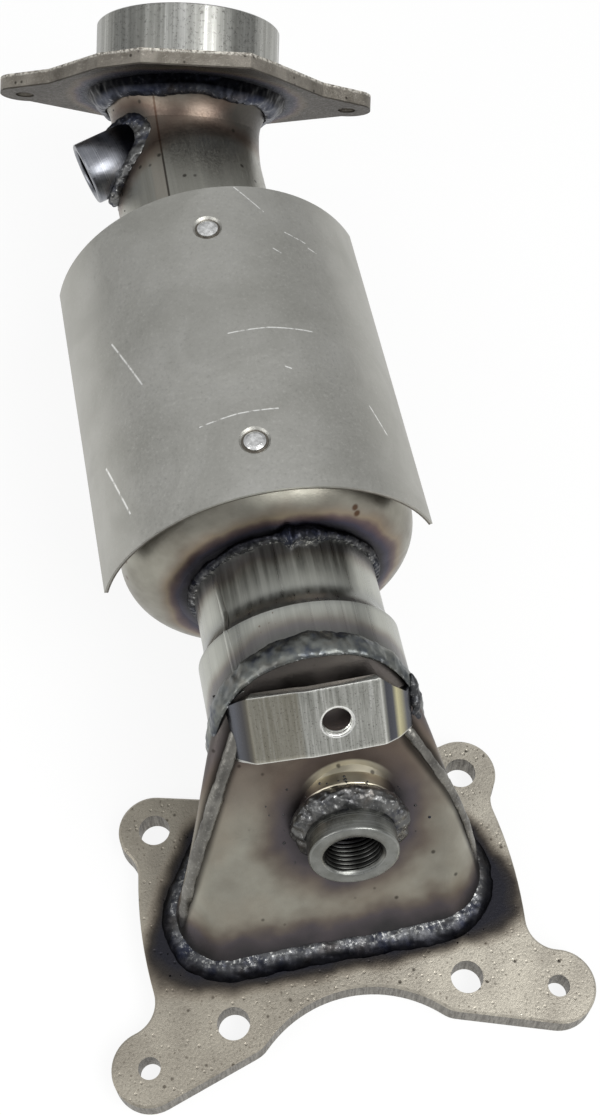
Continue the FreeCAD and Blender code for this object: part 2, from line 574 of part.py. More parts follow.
def heat_shield():
    def rim(radius, degrees):
        a = math.radians(degrees)
        return SHIELD_AXIS + Y * CAN_START + Vector(radius * math.sin(a), 0, radius * math.cos(a))

    inner = SHIELD_R - SHIELD_T
    left, right, middle = -SHIELD_LEFT, SHIELD_RIGHT, 0
    edges = [Part.Arc(rim(SHIELD_R, left), rim(SHIELD_R, middle), rim(SHIELD_R, right)).toShape(),
             Part.makeLine(rim(SHIELD_R, right), rim(inner, right)),
             Part.Arc(rim(inner, right), rim(inner, middle), rim(inner, left)).toShape(),
             Part.makeLine(rim(inner, left), rim(SHIELD_R, left))]
    sheet = Part.Face(Part.Wire(edges)).extrude(Y * (CAN_END - CAN_START))
    floor = SHIELD_R - DIMPLE_DEPTH
    for y in SHIELD_STUDS_Y:
        foot, out = stud_axis(y)
        sheet = sheet.fuse(turned([(0, floor - SHIELD_T), (DIMPLE_R - 0.6, floor - SHIELD_T),
                                   (DIMPLE_R + 0.2, inner + 0.2), (DIMPLE_R + 0.2, inner + 0.5),
                                   (0, inner + 0.5)], foot, out))
        sheet = sheet.cut(turned([(0, floor), (DIMPLE_R - 1.1, floor), (DIMPLE_R + 0.2, SHIELD_R + 0.3),
                                  (0, SHIELD_R + 0.3)], foot, out))
        sheet = sheet.cut(rod(foot, out, STUD_SHANK_R + SLIP_FIT, SHIELD_R + 5))
    return sheet


def shield_stud(y):
    """Shouldered stud welded to the can, headed over in the shield's dimple."""
    foot, out = stud_axis(y)
    floor = SHIELD_R - DIMPLE_DEPTH
    shoulder = floor - SHIELD_T
    stud = turned([(0, CAP_R - 2), (STUD_HEAD_R, CAP_R - 2), (STUD_HEAD_R, shoulder),
                   (STUD_SHANK_R, shoulder), (STUD_SHANK_R, floor), (STUD_HEAD_R, floor),
                   (STUD_HEAD_R - 0.2, floor + 0.7),
                   (STUD_HEAD_R - 1.2, floor + 1.2), (0, floor + 1.4)], foot, out)
    return stud.cut(rod(CAN_AXIS + Y * CAN_START, Y, CAP_R, CAN_END - CAN_START))


# ---- strap bracket ------------------------------------------------------------------------------------
def strap_bracket(ring):
    """Bent strap that bridges the housing's front, its feet shaped to the housing."""
    low = FRONT_FOOT + SLOPE * (STRAP_UP - STRAP_W / 2)
    top = STRAP_LIFT
    t = STRAP_T
    line = [(STRAP_LEFT - 3.5, -8), (STRAP_LEFT, top - STRAP_STEP - 3),
            (STRAP_LEFT + 4, top - STRAP_STEP - 0.8), (-4, top - STRAP_STEP + 0.3), (-1.5, top),
            (STRAP_RIGHT, top), (STRAP_RIGHT + 4.5, top - 1.8),
            (STRAP_RIGHT + 9.5, top - 6), (STRAP_RIGHT + 12, top - 13)]
    under = [(STRAP_RIGHT + 12 - t, top - 13), (STRAP_RIGHT + 7.2, top - 6 - 0.7 * t),
             (STRAP_RIGHT + 3.4, top - 1.8 - t), (STRAP_RIGHT - 0.6, top - t), (-0.8, top - t),
             (-3.6, top - STRAP_STEP + 0.3 - t), (STRAP_LEFT + 4, top - STRAP_STEP - 0.8 - t),
             (STRAP_LEFT + 2.4, top - STRAP_STEP - 3 - t), (STRAP_LEFT - 3.5 + 1.1 * t, -8)]
    corners = [low + X * x + FRONT_NORMAL * h for x, h in line + under]
    strap = Part.Face(Part.makePolygon(corners + corners[:1])).extrude(SLOPE * STRAP_W)
    hole = FRONT_FOOT + SLOPE * STRAP_HOLE_UP + X * STRAP_HOLE_X
    strap = strap.cut(rod(hole, FRONT_NORMAL, STRAP_HOLE_R, 2 * STRAP_LIFT))
    strap = strap.cut(duct(0)).cut(neck_outside()).cut(ring)
    return max(strap.Solids, key=lambda s: s.Volume)


# ---- the whole converter ----------------------------------------------------------------------------------
def build():
    parts = {"inlet_flange": inlet_flange()}
    parts["housing_front_shell"], parts["housing_rear_shell"] = housing_shells()
    parts["housing_base_weld"] = housing_base_bead()

    parts["front_sensor_boss"] = sensor_boss(FRONT_BOSS_MOUTH, FRONT_BOSS_DIR, FRONT_BOSS_R,
                                             FRONT_BOSS_LENGTH)
    parts["front_boss_weld"] = front_boss_bead()
    parts["inlet_neck"] = inlet_neck()
    parts["neck_housing_weld"] = ring_bead()
    parts["strap_bracket"] = strap_bracket(parts["neck_housing_weld"])

    inlet_start, outlet_start = CAN_AXIS + Y * CAN_START, CAN_AXIS + Y * CAN_END
    parts["inlet_end_cap"] = end_cap(inlet_start, Y, NECK_AXIS + Y * CAN_START, NECK_R)
    parts["outlet_end_cap"] = end_cap(outlet_start, -Y, outlet_start, ELBOW_R)
    shell_start, shell_end = CORNER_END + SHELL_GAP, CAN_START + CAN_END - CORNER_END - SHELL_GAP
    parts["can_shell"] = tube(CAN_AXIS + Y * shell_start, Y, SHELL_R, SHELL_T, shell_end - shell_start)
    parts["inlet_girth_weld"] = girth_bead(CAN_START + CAP_RIM, Y)
    parts["outlet_girth_weld"] = girth_bead(CAN_END - CAP_RIM, -Y)
    brick_start = CAN_AXIS + Y * (CAN_MIDDLE - BRICK_LENGTH / 2)
    parts["catalyst_brick"] = rod(brick_start, Y, BRICK_R, BRICK_LENGTH)
    mat_start, mat_length = brick_start + Y * MAT_SHORT, BRICK_LENGTH - 2 * MAT_SHORT
    parts["support_mat"] = tube(mat_start, Y, BRICK_R + MAT_T, MAT_T, mat_length)

    neck_weld = fillet_ring(NECK_AXIS + Y * CAN_START, -Y, NECK_R, NECK_BEAD, NECK_BEAD_RISE)
    parts["neck_can_weld"] = neck_weld.fuse(rod(NECK_AXIS + Y * CAN_START, Y, NECK_R + NECK_BEAD, 1.2)).cut(
        parts["inlet_end_cap"]).cut(neck_solid(0))
    elbow_outer = elbow_solid(0)
    elbow_weld = fillet_ring(outlet_start, Y, ELBOW_R, NECK_BEAD, NECK_BEAD_RISE)
    parts["elbow_can_weld"] = elbow_weld.cut(elbow_outer).cut(parts["outlet_end_cap"])

    rear_bore = rod(REAR_BOSS_MOUTH, -REAR_BOSS_DIR, SENSOR_BORE_R, REAR_BOSS_REACH)
    parts["outlet_elbow"] = elbow_outer.cut(elbow_solid(-ELBOW_T)).cut(rear_bore)
    rear_boss = sensor_boss(REAR_BOSS_MOUTH, REAR_BOSS_DIR, REAR_BOSS_R, REAR_BOSS_REACH, 0.5)
    parts["rear_sensor_boss"] = rear_boss.cut(elbow_outer)
    bead_block = rod(REAR_BOSS_MOUTH, -REAR_BOSS_DIR, REAR_BOSS_R + BOSS_BEAD, REAR_BOSS_REACH)
    parts["rear_boss_weld"] = bead_block.common(elbow_solid(BOSS_BEAD)).cut(elbow_outer).cut(
        rod(REAR_BOSS_MOUTH, -REAR_BOSS_DIR, REAR_BOSS_R, REAR_BOSS_REACH))

    parts["outlet_flange"] = outlet_flange()
    parts["outlet_flange_weld"] = flange_bead(elbow_outer)
    parts["outlet_spigot"] = outlet_spigot()

    parts["heat_shield"] = heat_shield()
    for name, y in zip(("front_shield_stud", "rear_shield_stud"), SHIELD_STUDS_Y):
        parts[name] = shield_stud(y)
    return parts


def main():
    os.makedirs("parts", exist_ok=True)
    for name, shape in build().items():
        shape.exportStep(os.path.join("parts", name + ".step"))


main()
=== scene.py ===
"""Looks of a catalytic converter: steel finishes, weld beads, threads and small marks round the solids.

Lengths are in millimetres here and in metres in the meshes. The gasket face is Z = 0, +Y runs along the can
and +Z out of the plate.
"""

import math

import bmesh
import bpy
import numpy as np
from mathutils import Matrix, Vector

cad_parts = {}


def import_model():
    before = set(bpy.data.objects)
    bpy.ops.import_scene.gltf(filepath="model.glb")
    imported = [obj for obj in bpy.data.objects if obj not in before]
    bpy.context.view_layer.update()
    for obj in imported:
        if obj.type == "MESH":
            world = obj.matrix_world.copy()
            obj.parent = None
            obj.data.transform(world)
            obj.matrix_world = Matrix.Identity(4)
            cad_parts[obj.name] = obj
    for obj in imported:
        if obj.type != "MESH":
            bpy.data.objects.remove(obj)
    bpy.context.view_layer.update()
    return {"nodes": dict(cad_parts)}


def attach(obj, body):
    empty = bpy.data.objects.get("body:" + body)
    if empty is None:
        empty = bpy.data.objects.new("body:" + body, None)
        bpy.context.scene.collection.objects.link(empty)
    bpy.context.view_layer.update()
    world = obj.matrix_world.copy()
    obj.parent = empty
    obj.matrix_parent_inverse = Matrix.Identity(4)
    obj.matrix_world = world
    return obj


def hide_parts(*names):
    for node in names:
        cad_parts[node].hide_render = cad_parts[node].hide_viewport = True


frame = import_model()

MM = 0.001
X, Y, Z = np.eye(3)

# ---- sizes shared with the part ---------------------------------------------------------
PLATE_TOP = 9.0
BASE_FRONT_Y, BASE_REAR_Y = 15.5, 62.0
BASE_FRONT_HALF, BASE_REAR_HALF = 63.5, 34.9
BASE_FRONT_R, BASE_REAR_R = 18.0, 12.0
CAN_AXIS_Z = 64.6
CAN_START, CAN_END = 115.8, 235.8
SHELL_R = 45.4
CAP_RIM = 28.75               # from the can's end to its cap's rim, where the girth bead lies
NECK_X, NECK_R = 2.2, 28.5
NECK_STEP_START, NECK_STEP_END = 91.0, 99.0
COLLAR_R = 31.0
COLLAR_CENTRE = np.array([NECK_X, 66.0, CAN_AXIS_Z])
TILT = math.radians(20)
COLLAR_UP = np.array([0, math.sin(TILT), math.cos(TILT)])
COLLAR_NORMAL = np.array([0, math.cos(TILT), -math.sin(TILT)])
FRONT_FOOT = np.array([0, BASE_FRONT_Y, PLATE_TOP])
SLOPE = np.array([0, 0.58078, 0.81406])
FRONT_NORMAL = np.array([0, -0.81406, 0.58078])
ELBOW_R, ELBOW_BEND_R, FLARE_R = 27.5, 38.0, 34.0
BEND_POINT = np.array([0, 302.3, CAN_AXIS_Z])
LIFT, SWING = math.radians(33.57), math.radians(13.54)
OUT_DIR = np.array([math.cos(LIFT) * math.sin(SWING), math.cos(LIFT) * math.cos(SWING), math.sin(LIFT)])
OUT_FACE, OUT_T = 24.5, 5.5
SHIELD_X, SHIELD_R = -0.8, 53.8
FRONT_BOSS_MOUTH, FRONT_BOSS_DIR = np.array([6.3, 29.2, 51.7]), np.array([-0.09, -0.964, 0.249])
REAR_BOSS_MOUTH, REAR_BOSS_DIR = np.array([-36.9, 294.8, 75.0]), np.array([-0.957, -0.259, -0.126])
FRONT_BOSS_R, REAR_BOSS_R = 13.5, 11.2
FRONT_BOSS_LENGTH, REAR_BOSS_LENGTH = 23.5, 21.0
BOSS_BORE_R = 8.25            # M18 x 1.5, at the thread's crest
STRAP_HOLE_X, STRAP_HOLE_UP = 7.0, 84.6
STRAP_HOLE = FRONT_FOOT + SLOPE * STRAP_HOLE_UP + X * STRAP_HOLE_X
COLLAR_CREST = (8.7, 52.3, 60.6)    # top of the drawn collar over the front boss
RUST_PATCH = (-7.0, 88.0, 94.0)     # middle of the rusty patch on the neck tube
# the laps of the two half shells: points up the housing's left and right edges, on its surface
LEFT_LAP = ((-46.4, 30.5, 11.0), (-45.8, 33.8, 20.1), (-43.8, 35.6, 26.6), (-41.4, 38.0, 33.9),
            (-37.4, 43.1, 45.2), (-33.8, 47.5, 53.3), (-30.2, 52.3, 60.6), (-26.8, 56.6, 66.7),
            (-23.9, 60.2, 71.6), (-20.0, 65.9, 79.1))
RIGHT_LAP = ((46.9, 30.5, 11.0), (46.0, 34.5, 20.1), (44.6, 38.5, 31.0), (42.0, 43.4, 42.3),
             (38.6, 47.0, 50.5), (35.4, 50.0, 56.4), (32.5, 52.9, 61.2), (29.8, 55.6, 65.3),
             (27.0, 60.0, 71.4))


# ---- materials: small tools --------------------------------------------------------------
# A noise's scale is per mm: 1.6 gives grains about 0.6 mm across, and 0.05 gives patches of 20 mm.
def colour(hexcode):
    """sRGB hex to linear RGBA."""
    channels = [int(hexcode[i:i + 2], 16) / 255 for i in (0, 2, 4)]
    return [c / 12.92 if c <= 0.04045 else ((c + 0.055) / 1.055) ** 2.4 for c in channels] + [1.0]


def add(tree, kind, inputs=(), out=None, stops=(), **settings):
    """Adds one shader node and returns an output: inputs fill its live sockets in order, or by name."""
    node = tree.nodes.new("ShaderNode" + kind)
    for name, value in settings.items():
        setattr(node, name, value)
    for place, (at, hexcode) in enumerate(stops):
        element = node.color_ramp.elements[place] if place < 2 else node.color_ramp.elements.new(at)
        element.position, element.color = at, colour(hexcode)
    if isinstance(inputs, dict):
        pairs = [(node.inputs[socket], value) for socket, value in inputs.items()]
    else:
        pairs = zip([socket for socket in node.inputs if socket.enabled], inputs)
    for socket, value in pairs:
        if isinstance(value, bpy.types.NodeSocket):
            tree.links.new(value, socket)
        elif value is not None:
            socket.default_value = value
    return node.outputs[out] if out else next(socket for socket in node.outputs if socket.enabled)


def start(name, roughness, **sockets):
    """Starts a metal finish: its tree, its shader and its Object coordinates in millimetres."""
    material = bpy.data.materials.new(name)
    material.use_nodes = True
    tree = material.node_tree
    shader = tree.nodes["Principled BSDF"]
    shader.inputs["Roughness"].default_value = roughness
    shader.inputs["Metallic"].default_value = 1.0
    for key, value in sockets.items():
        shader.inputs[key].default_value = value
    place = add(tree, "TexCoord", out="Object")
    return material, tree, shader, add(tree, "VectorMath", (place, 1 / MM), operation="SCALE")


def above(tree, place, point, direction):
    """Height in mm over the plane through a point, along a unit direction."""
    offset = add(tree, "VectorMath", (place, point), operation="SUBTRACT")
    return add(tree, "VectorMath", (offset, direction), "Value", operation="DOT_PRODUCT")


def from_axis(tree, place, point, direction):
    """Distance in mm from the axis through a point along a unit direction."""
    offset = add(tree, "VectorMath", (place, point), operation="SUBTRACT")
    across = add(tree, "VectorMath", (offset, direction), operation="CROSS_PRODUCT")
    return add(tree, "VectorMath", (across,), "Value", operation="LENGTH")


def drawn_out(tree, place, direction, share):
    """Coordinates squeezed along a direction, so that a noise on them runs in streaks that way."""
    height = above(tree, place, (0, 0, 0), direction)
    back = add(tree, "VectorMath", (tuple(direction), height), operation="SCALE")
    back = add(tree, "VectorMath", (back, share), operation="SCALE")
    return add(tree, "VectorMath", (place, back), operation="SUBTRACT")


def fade(tree, value, start_at, end_at):
    """1 at the first value, falling smoothly to 0 at the second."""
    return add(tree, "MapRange", (value, start_at, end_at, 1.0, 0.0), interpolation_type="SMOOTHSTEP")


def to_segment(tree, place, start_at, end_at):
    """Distance in mm to the straight line between two points."""
    run = np.subtract(end_at, start_at)
    offset = add(tree, "VectorMath", (place, start_at), operation="SUBTRACT")
    share = add(tree, "VectorMath", (offset, run / (run @ run)), "Value", operation="DOT_PRODUCT")
    share = add(tree, "Math", (share, 0.0), operation="ADD", use_clamp=True)
    foot = add(tree, "VectorMath", (tuple(run), share), operation="SCALE")
    away = add(tree, "VectorMath", (offset, foot), operation="SUBTRACT")
    return add(tree, "VectorMath", (away,), "Value", operation="LENGTH")


def mottle(tree, place, size, dark, light, low=0.35, high=0.65):
    """Soft cloudy patches, size mm across, between two colours."""
    noise = add(tree, "TexNoise", (place, 1 / size, 4.0, 0.55))
    share = add(tree, "MapRange", (noise, low, high, 0.0, 1.0))
    return add(tree, "Mix", (share, colour(dark), colour(light)), data_type="RGBA")


def blend_in(tree, base, mask, hexcode, strength=1.0):
    """Lays a colour over a base where the mask is up."""
    mask = add(tree, "Math", (mask, strength), operation="MULTIPLY")
    return add(tree, "Mix", (mask, base, colour(hexcode)), data_type="RGBA")


def pick_out(tree, base, pattern, low, high, hexcode, strength):
    """Lays a colour over a base, from none where a pattern is at low to its full strength at high."""
    return blend_in(tree, base, add(tree, "MapRange", (pattern, low, high, 0.0, 1.0)), hexcode, strength)


def specks(tree, place, size, amount):
    """Mask of small separate specks: cells size mm apart, with a dot in each whose random value is low."""
    cells = add(tree, "TexVoronoi", (place, 1 / size))
    dot = fade(tree, cells, 0.12, 0.3)
    pick = add(tree, "SeparateColor", (cells.node.outputs["Color"],))
    chosen = add(tree, "Math", (pick, amount), operation="LESS_THAN")
    return add(tree, "Math", (dot, chosen), operation="MULTIPLY")


# heat tints, from the weld's toe outward
TEMPER = ((0.0, "26282F"), (0.25, "373A46"), (0.45, "524B54"), (0.65, "75675B"), (0.85, "958A78"),
          (1.0, "A39A86"))
CAP_TEMPER = ((0.0, "24242C"), (0.22, "3A3848"), (0.42, "5A4748"), (0.55, "83705A"), (0.75, "6E5A4C"),
              (1.0, "8E897C"))
BROWN_TEMPER = ((0.0, "2A2420"), (0.3, "4A352A"), (0.6, "6E5A48"), (1.0, "8E8674"))
PLATE_TEMPER = ((0.0, "2E2E33"), (0.25, "3A3735"), (0.5, "544C43"), (0.75, "7C7163"), (1.0, "9E9586"))
SOFT_TEMPER = ((0.0, "3C3B3E"), (0.3, "575155"), (0.5, "62554E"), (0.75, "7B7062"), (1.0, "908B7F"))


def temper(tree, place, base, distance, reach, strength=1.0, stops=TEMPER, waver=1.2, toe=None):
    """Heat tint beside a weld: dark blue at the bead's toe, then purple, brown and straw, gone reach mm on.
    Toe is the distance at which the bead ends; the tint's edge wanders by waver mm."""
    if toe:
        distance = add(tree, "Math", (distance, toe), operation="SUBTRACT")
    noise = add(tree, "TexNoise", (place, 0.09, 2.0, 0.5))
    wavy = add(tree, "MapRange", (noise, 0.25, 0.75, -waver, waver))
    distance = add(tree, "Math", (distance, wavy), operation="ADD")
    share = add(tree, "MapRange", (distance, 0.0, reach, 0.0, 1.0))
    bands = add(tree, "ValToRGB", (share,), stops=stops)
    mask = add(tree, "Math", (fade(tree, share, 0.25, 1.0), strength), operation="MULTIPLY")
    return add(tree, "Mix", (mask, base, bands), data_type="RGBA")


def finish(tree, shader, base, heights, rough=None):
    """Links the colour, a chain of bumps, each a height pattern and its depth in mm, and the roughness: a
    pattern, and how rough the metal is where the pattern is low and where it is high."""
    tree.links.new(base, shader.inputs["Base Color"])
    normal = None
    for height, depth in heights:
        normal = add(tree, "Bump", {"Height": height, "Distance": depth * MM, "Strength": 1.0,
                                    "Normal": normal})
    if normal:
        tree.links.new(normal, shader.inputs["Normal"])
    if rough:
        pattern, low, high = rough
        tree.links.new(add(tree, "MapRange", (pattern, 0.3, 0.7, low, high)), shader.inputs["Roughness"])


# ---- materials ---------------------------------------------------------------------------
def blasted_plate_steel():
    """Thick laser-cut plate, shot blasted: beige grey with pits, dark specks and a heat ring by the bead."""
    material, tree, shader, place = start("blasted_plate_steel", 0.5)
    base = mottle(tree, place, 16.0, "A8A296", "C2BCAE")
    fine = add(tree, "TexNoise", (place, 1.1, 4.0, 0.7))
    base = pick_out(tree, base, fine, 0.56, 0.75, "DAD5CA", 0.5)
    base = pick_out(tree, base, fine, 0.45, 0.3, "6E675C", 0.6)
    base = blend_in(tree, base, specks(tree, place, 2.6, 0.16), "2A241F", 0.85)
    base = blend_in(tree, base, specks(tree, place, 1.5, 0.2), "5A5046", 0.6)
    split = add(tree, "SeparateXYZ", (place,)).node.outputs
    # painted shade: the plate is darker towards -X, the side away from the key light
    base = blend_in(tree, base, fade(tree, split["X"], -40.0, 45.0), "7E776B", 0.45)
    side_x = add(tree, "Math", (split["X"],), operation="ABSOLUTE")
    lean = (BASE_FRONT_HALF - BASE_REAR_HALF) / (BASE_REAR_Y - BASE_FRONT_Y)
    side_normal = np.array([1, lean, 0]) / math.hypot(1, lean)
    flat = add(tree, "CombineXYZ", (side_x, split["Y"], 0.0))
    front = above(tree, flat, (0, BASE_FRONT_Y, 0), (0, -1, 0))
    rear = above(tree, flat, (0, BASE_REAR_Y, 0), (0, 1, 0))
    side = above(tree, flat, (BASE_FRONT_HALF, BASE_FRONT_Y, 0), side_normal)
    corner = math.atan2(1, lean)
    front_round = 6 * BASE_FRONT_R * (1 - math.sin(corner / 2))
    rear_round = 6 * BASE_REAR_R * (1 - math.cos(corner / 2))
    out = add(tree, "Math", (front, side, front_round), operation="SMOOTH_MAX")
    out = add(tree, "Math", (out, rear, rear_round), operation="SMOOTH_MAX")
    out = add(tree, "Math", (out, 3.2), operation="SUBTRACT")
    below_top = fade(tree, above(tree, place, (0, 0, PLATE_TOP - 1.5), Z), 0.0, 1.0)
    under = add(tree, "Math", (below_top, 60.0), operation="MULTIPLY")
    base = temper(tree, place, base, add(tree, "Math", (out, under), operation="ADD"), 6.5, 1.0, PLATE_TEMPER)
    # the laser-cut wall: finer and greyer, with upright drag lines, and darker still as painted shade for the
    # walls that stand in shade in the holes and round the plate
    wall = add(tree, "NewGeometry", out="True Normal")
    wall = above(tree, wall, (0, 0, 0), Z)
    wall = fade(tree, add(tree, "Math", (wall,), operation="ABSOLUTE"), 0.3, 0.6)
    lines = add(tree, "TexNoise", (drawn_out(tree, place, Z, 0.94), 1.6, 3.0, 0.6))
    shaded_cut_wall = add(tree, "Mix", (add(tree, "MapRange", (lines, 0.35, 0.65, 0.0, 1.0)), colour("5C5851"),
                            colour("8C8880")), data_type="RGBA")
    base = add(tree, "Mix", (wall, base, shaded_cut_wall), data_type="RGBA")
    pits = specks(tree, place, 1.9, 0.3)
    sunk = add(tree, "Math", (1.0, pits), operation="SUBTRACT")
    rough = (fine, 0.36, 0.6)
    finish(tree, shader, base, ((fine, 0.14), (sunk, 0.12), (lines, 0.03)), rough)
    return material


def sheared_flange_steel():
    """Small stamped flange with mill scale: rough grey tan, darkened underneath as painted shade, heat-tinted
    by the weld and bright on rubbed edges.
    """
    material, tree, shader, place = start("sheared_flange_steel", 0.5)
    base = mottle(tree, place, 9.0, "67625A", "8A857C")
    fine = add(tree, "TexNoise", (place, 0.8, 5.0, 0.75))
    base = pick_out(tree, base, fine, 0.56, 0.72, "C9C4BA", 0.6)
    rim = fade(tree, above(tree, place, BEND_POINT + OUT_DIR * (OUT_FACE + OUT_T), -OUT_DIR), 0.5, 1.3)
    worn = add(tree, "MapRange", (fine, 0.44, 0.56, 0.0, 1.0))
    chipped = add(tree, "Math", (rim, worn), operation="MULTIPLY")
    base = blend_in(tree, base, chipped, "E6E2D8", 0.75)
    base = blend_in(tree, base, specks(tree, place, 2.6, 0.3), "2B2622", 0.8)
    # painted shade: the flange's underside is darkened
    under = fade(tree, above(tree, place, BEND_POINT + OUT_DIR * (OUT_FACE + 0.4), OUT_DIR), 0.0, 0.3)
    base = blend_in(tree, base, under, "36322E", 0.8)
    near = from_axis(tree, place, BEND_POINT, OUT_DIR)
    near = add(tree, "Math", (near, FLARE_R + 3.0), operation="SUBTRACT")
    topside = add(tree, "Math", (1.0, under), operation="SUBTRACT")
    away = add(tree, "Math", (topside, 40.0), operation="MULTIPLY")
    base = temper(tree, place, base, add(tree, "Math", (near, away), operation="ADD"), 9.0, 0.9)
    finish(tree, shader, base, ((fine, 0.45),), (fine, 0.35, 0.62))
    return material


def pressed_stainless():
    """Deep-drawn stainless half shells: olive-grey satin, with purple-brown heat tint by every weld."""
    material, tree, shader, place = start("pressed_stainless", 0.4)
    base = mottle(tree, place, 22.0, "8F8B80", "A9A79B")
    haze = add(tree, "TexNoise", (place, 0.045, 2.0, 0.5))
    base = pick_out(tree, base, haze, 0.5, 0.68, "8A7C6C", 0.45)
    foot = above(tree, place, (0, 0, PLATE_TOP + 3.2), Z)
    base = temper(tree, place, base, foot, 15.0, 0.95, SOFT_TEMPER, 2.5)
    boss = from_axis(tree, place, FRONT_BOSS_MOUTH, FRONT_BOSS_DIR)
    base = temper(tree, place, base, boss, 19.0, 0.95, SOFT_TEMPER, 2.5, toe=15.0)
    strap = above(tree, place, FRONT_FOOT + SLOPE * 62.0, SLOPE)
    on_front = fade(tree, above(tree, place, FRONT_FOOT, FRONT_NORMAL), -6.0, -14.0)
    strap = add(tree, "MapRange", (strap, -12.0, 4.0, 0.0, 1.0), interpolation_type="SMOOTHSTEP")
    base = blend_in(tree, base, add(tree, "Math", (strap, on_front), operation="MULTIPLY"), "6E6057", 0.6)
    ring = above(tree, place, COLLAR_CENTRE, -COLLAR_NORMAL)
    base = temper(tree, place, base, ring, 10.0, 0.7, SOFT_TEMPER, toe=4.0)
    # painted shade lies in the crease beside each lap of the half shells
    nearest = None
    for lap in (LEFT_LAP, RIGHT_LAP):
        for ends in zip(lap[:-1], lap[1:]):
            away = to_segment(tree, place, *ends)
            nearest = add(tree, "Math", (nearest, away), operation="MINIMUM") if nearest else away
    base = blend_in(tree, base, fade(tree, nearest, 2.0, 4.2), "2A2724", 0.85)
    # the drawn collar over the boss was ground pale before welding
    crest = add(tree, "VectorMath", (place, COLLAR_CREST), "Value", operation="DISTANCE")
    ground = add(tree, "Math", (fade(tree, boss, 17.4, 18.2), fade(tree, crest, 7.0, 15.0)),
                 operation="MULTIPLY")
    base = blend_in(tree, base, ground, "DAD3BD", 0.8)
    base = blend_in(tree, base, specks(tree, place, 3.2, 0.05), "2B2622", 0.7)
    grain = add(tree, "TexNoise", (place, 1.3, 3.0, 0.6))
    rough = (add(tree, "TexNoise", (place, 0.08, 3.0, 0.6)), 0.3, 0.5)
    finish(tree, shader, base, ((grain, 0.035), (haze, 0.6)), rough)
    return material


def lapped_edge_steel():
    """The shells' rolled laps: cloudy mid grey, rubbed pale in places, dark by the base bead."""
    material, tree, shader, place = start("lapped_edge_steel", 0.4)
    base = mottle(tree, place, 7.0, "605E5A", "82807A")
    grit = add(tree, "TexNoise", (place, 1.2, 3.0, 0.6))
    base = pick_out(tree, base, grit, 0.56, 0.7, "B8B6B0", 0.4)
    base = blend_in(tree, base, fade(tree, above(tree, place, FRONT_FOOT, Z), 6.0, 16.0), "34323A", 0.7)
    finish(tree, shader, base, ((grit, 0.05),))
    return material


def drawn_tube_stainless():
    """Cold-drawn neck tube: bright, with fine streaks along it, bluish on the step and brown by the welds."""
    material, tree, shader, place = start("drawn_tube_stainless", 0.32)
    streaks = add(tree, "TexNoise", (drawn_out(tree, place, Y, 0.985), 0.5, 4.0, 0.65))
    fine = add(tree, "TexNoise", (drawn_out(tree, place, Y, 0.97), 1.6, 3.0, 0.7))
    base = add(tree, "ValToRGB", (streaks,),
               stops=((0.3, "A1A29B"), (0.5, "ADAEA6"), (0.65, "B6B7AF"), (0.8, "C6C6BF")))
    base = pick_out(tree, base, fine, 0.5, 0.7, "DCDCD5", 0.2)
    along = above(tree, place, (0, 0, 0), Y)
    wide = add(tree, "MapRange", (along, NECK_STEP_START - 2, NECK_STEP_START + 1.5, 0.0, 1.0),
               interpolation_type="SMOOTHSTEP")
    past = fade(tree, along, NECK_STEP_START + 3, NECK_STEP_END + 2)
    base = blend_in(tree, base, add(tree, "Math", (wide, past), operation="MULTIPLY"), "50545A", 0.4)
    can = above(tree, place, (0, CAN_START, 0), -Y)
    base = temper(tree, place, base, can, 9.0, 0.6, SOFT_TEMPER, 2.0, toe=2.5)
    ring = above(tree, place, COLLAR_CENTRE, COLLAR_NORMAL)
    base = temper(tree, place, base, ring, 8.0, 0.75, SOFT_TEMPER, toe=4.0)
    patch = add(tree, "VectorMath", (place, RUST_PATCH), "Value", operation="DISTANCE")
    rusty = add(tree, "Math", (specks(tree, place, 1.5, 0.5), fade(tree, patch, 1.0, 6.0)),
                operation="MULTIPLY")
    base = blend_in(tree, base, rusty, "5A3B24", 0.9)
    rough = (streaks, 0.24, 0.42)
    finish(tree, shader, base, ((streaks, 0.02), (fine, 0.01)), rough)
    return material


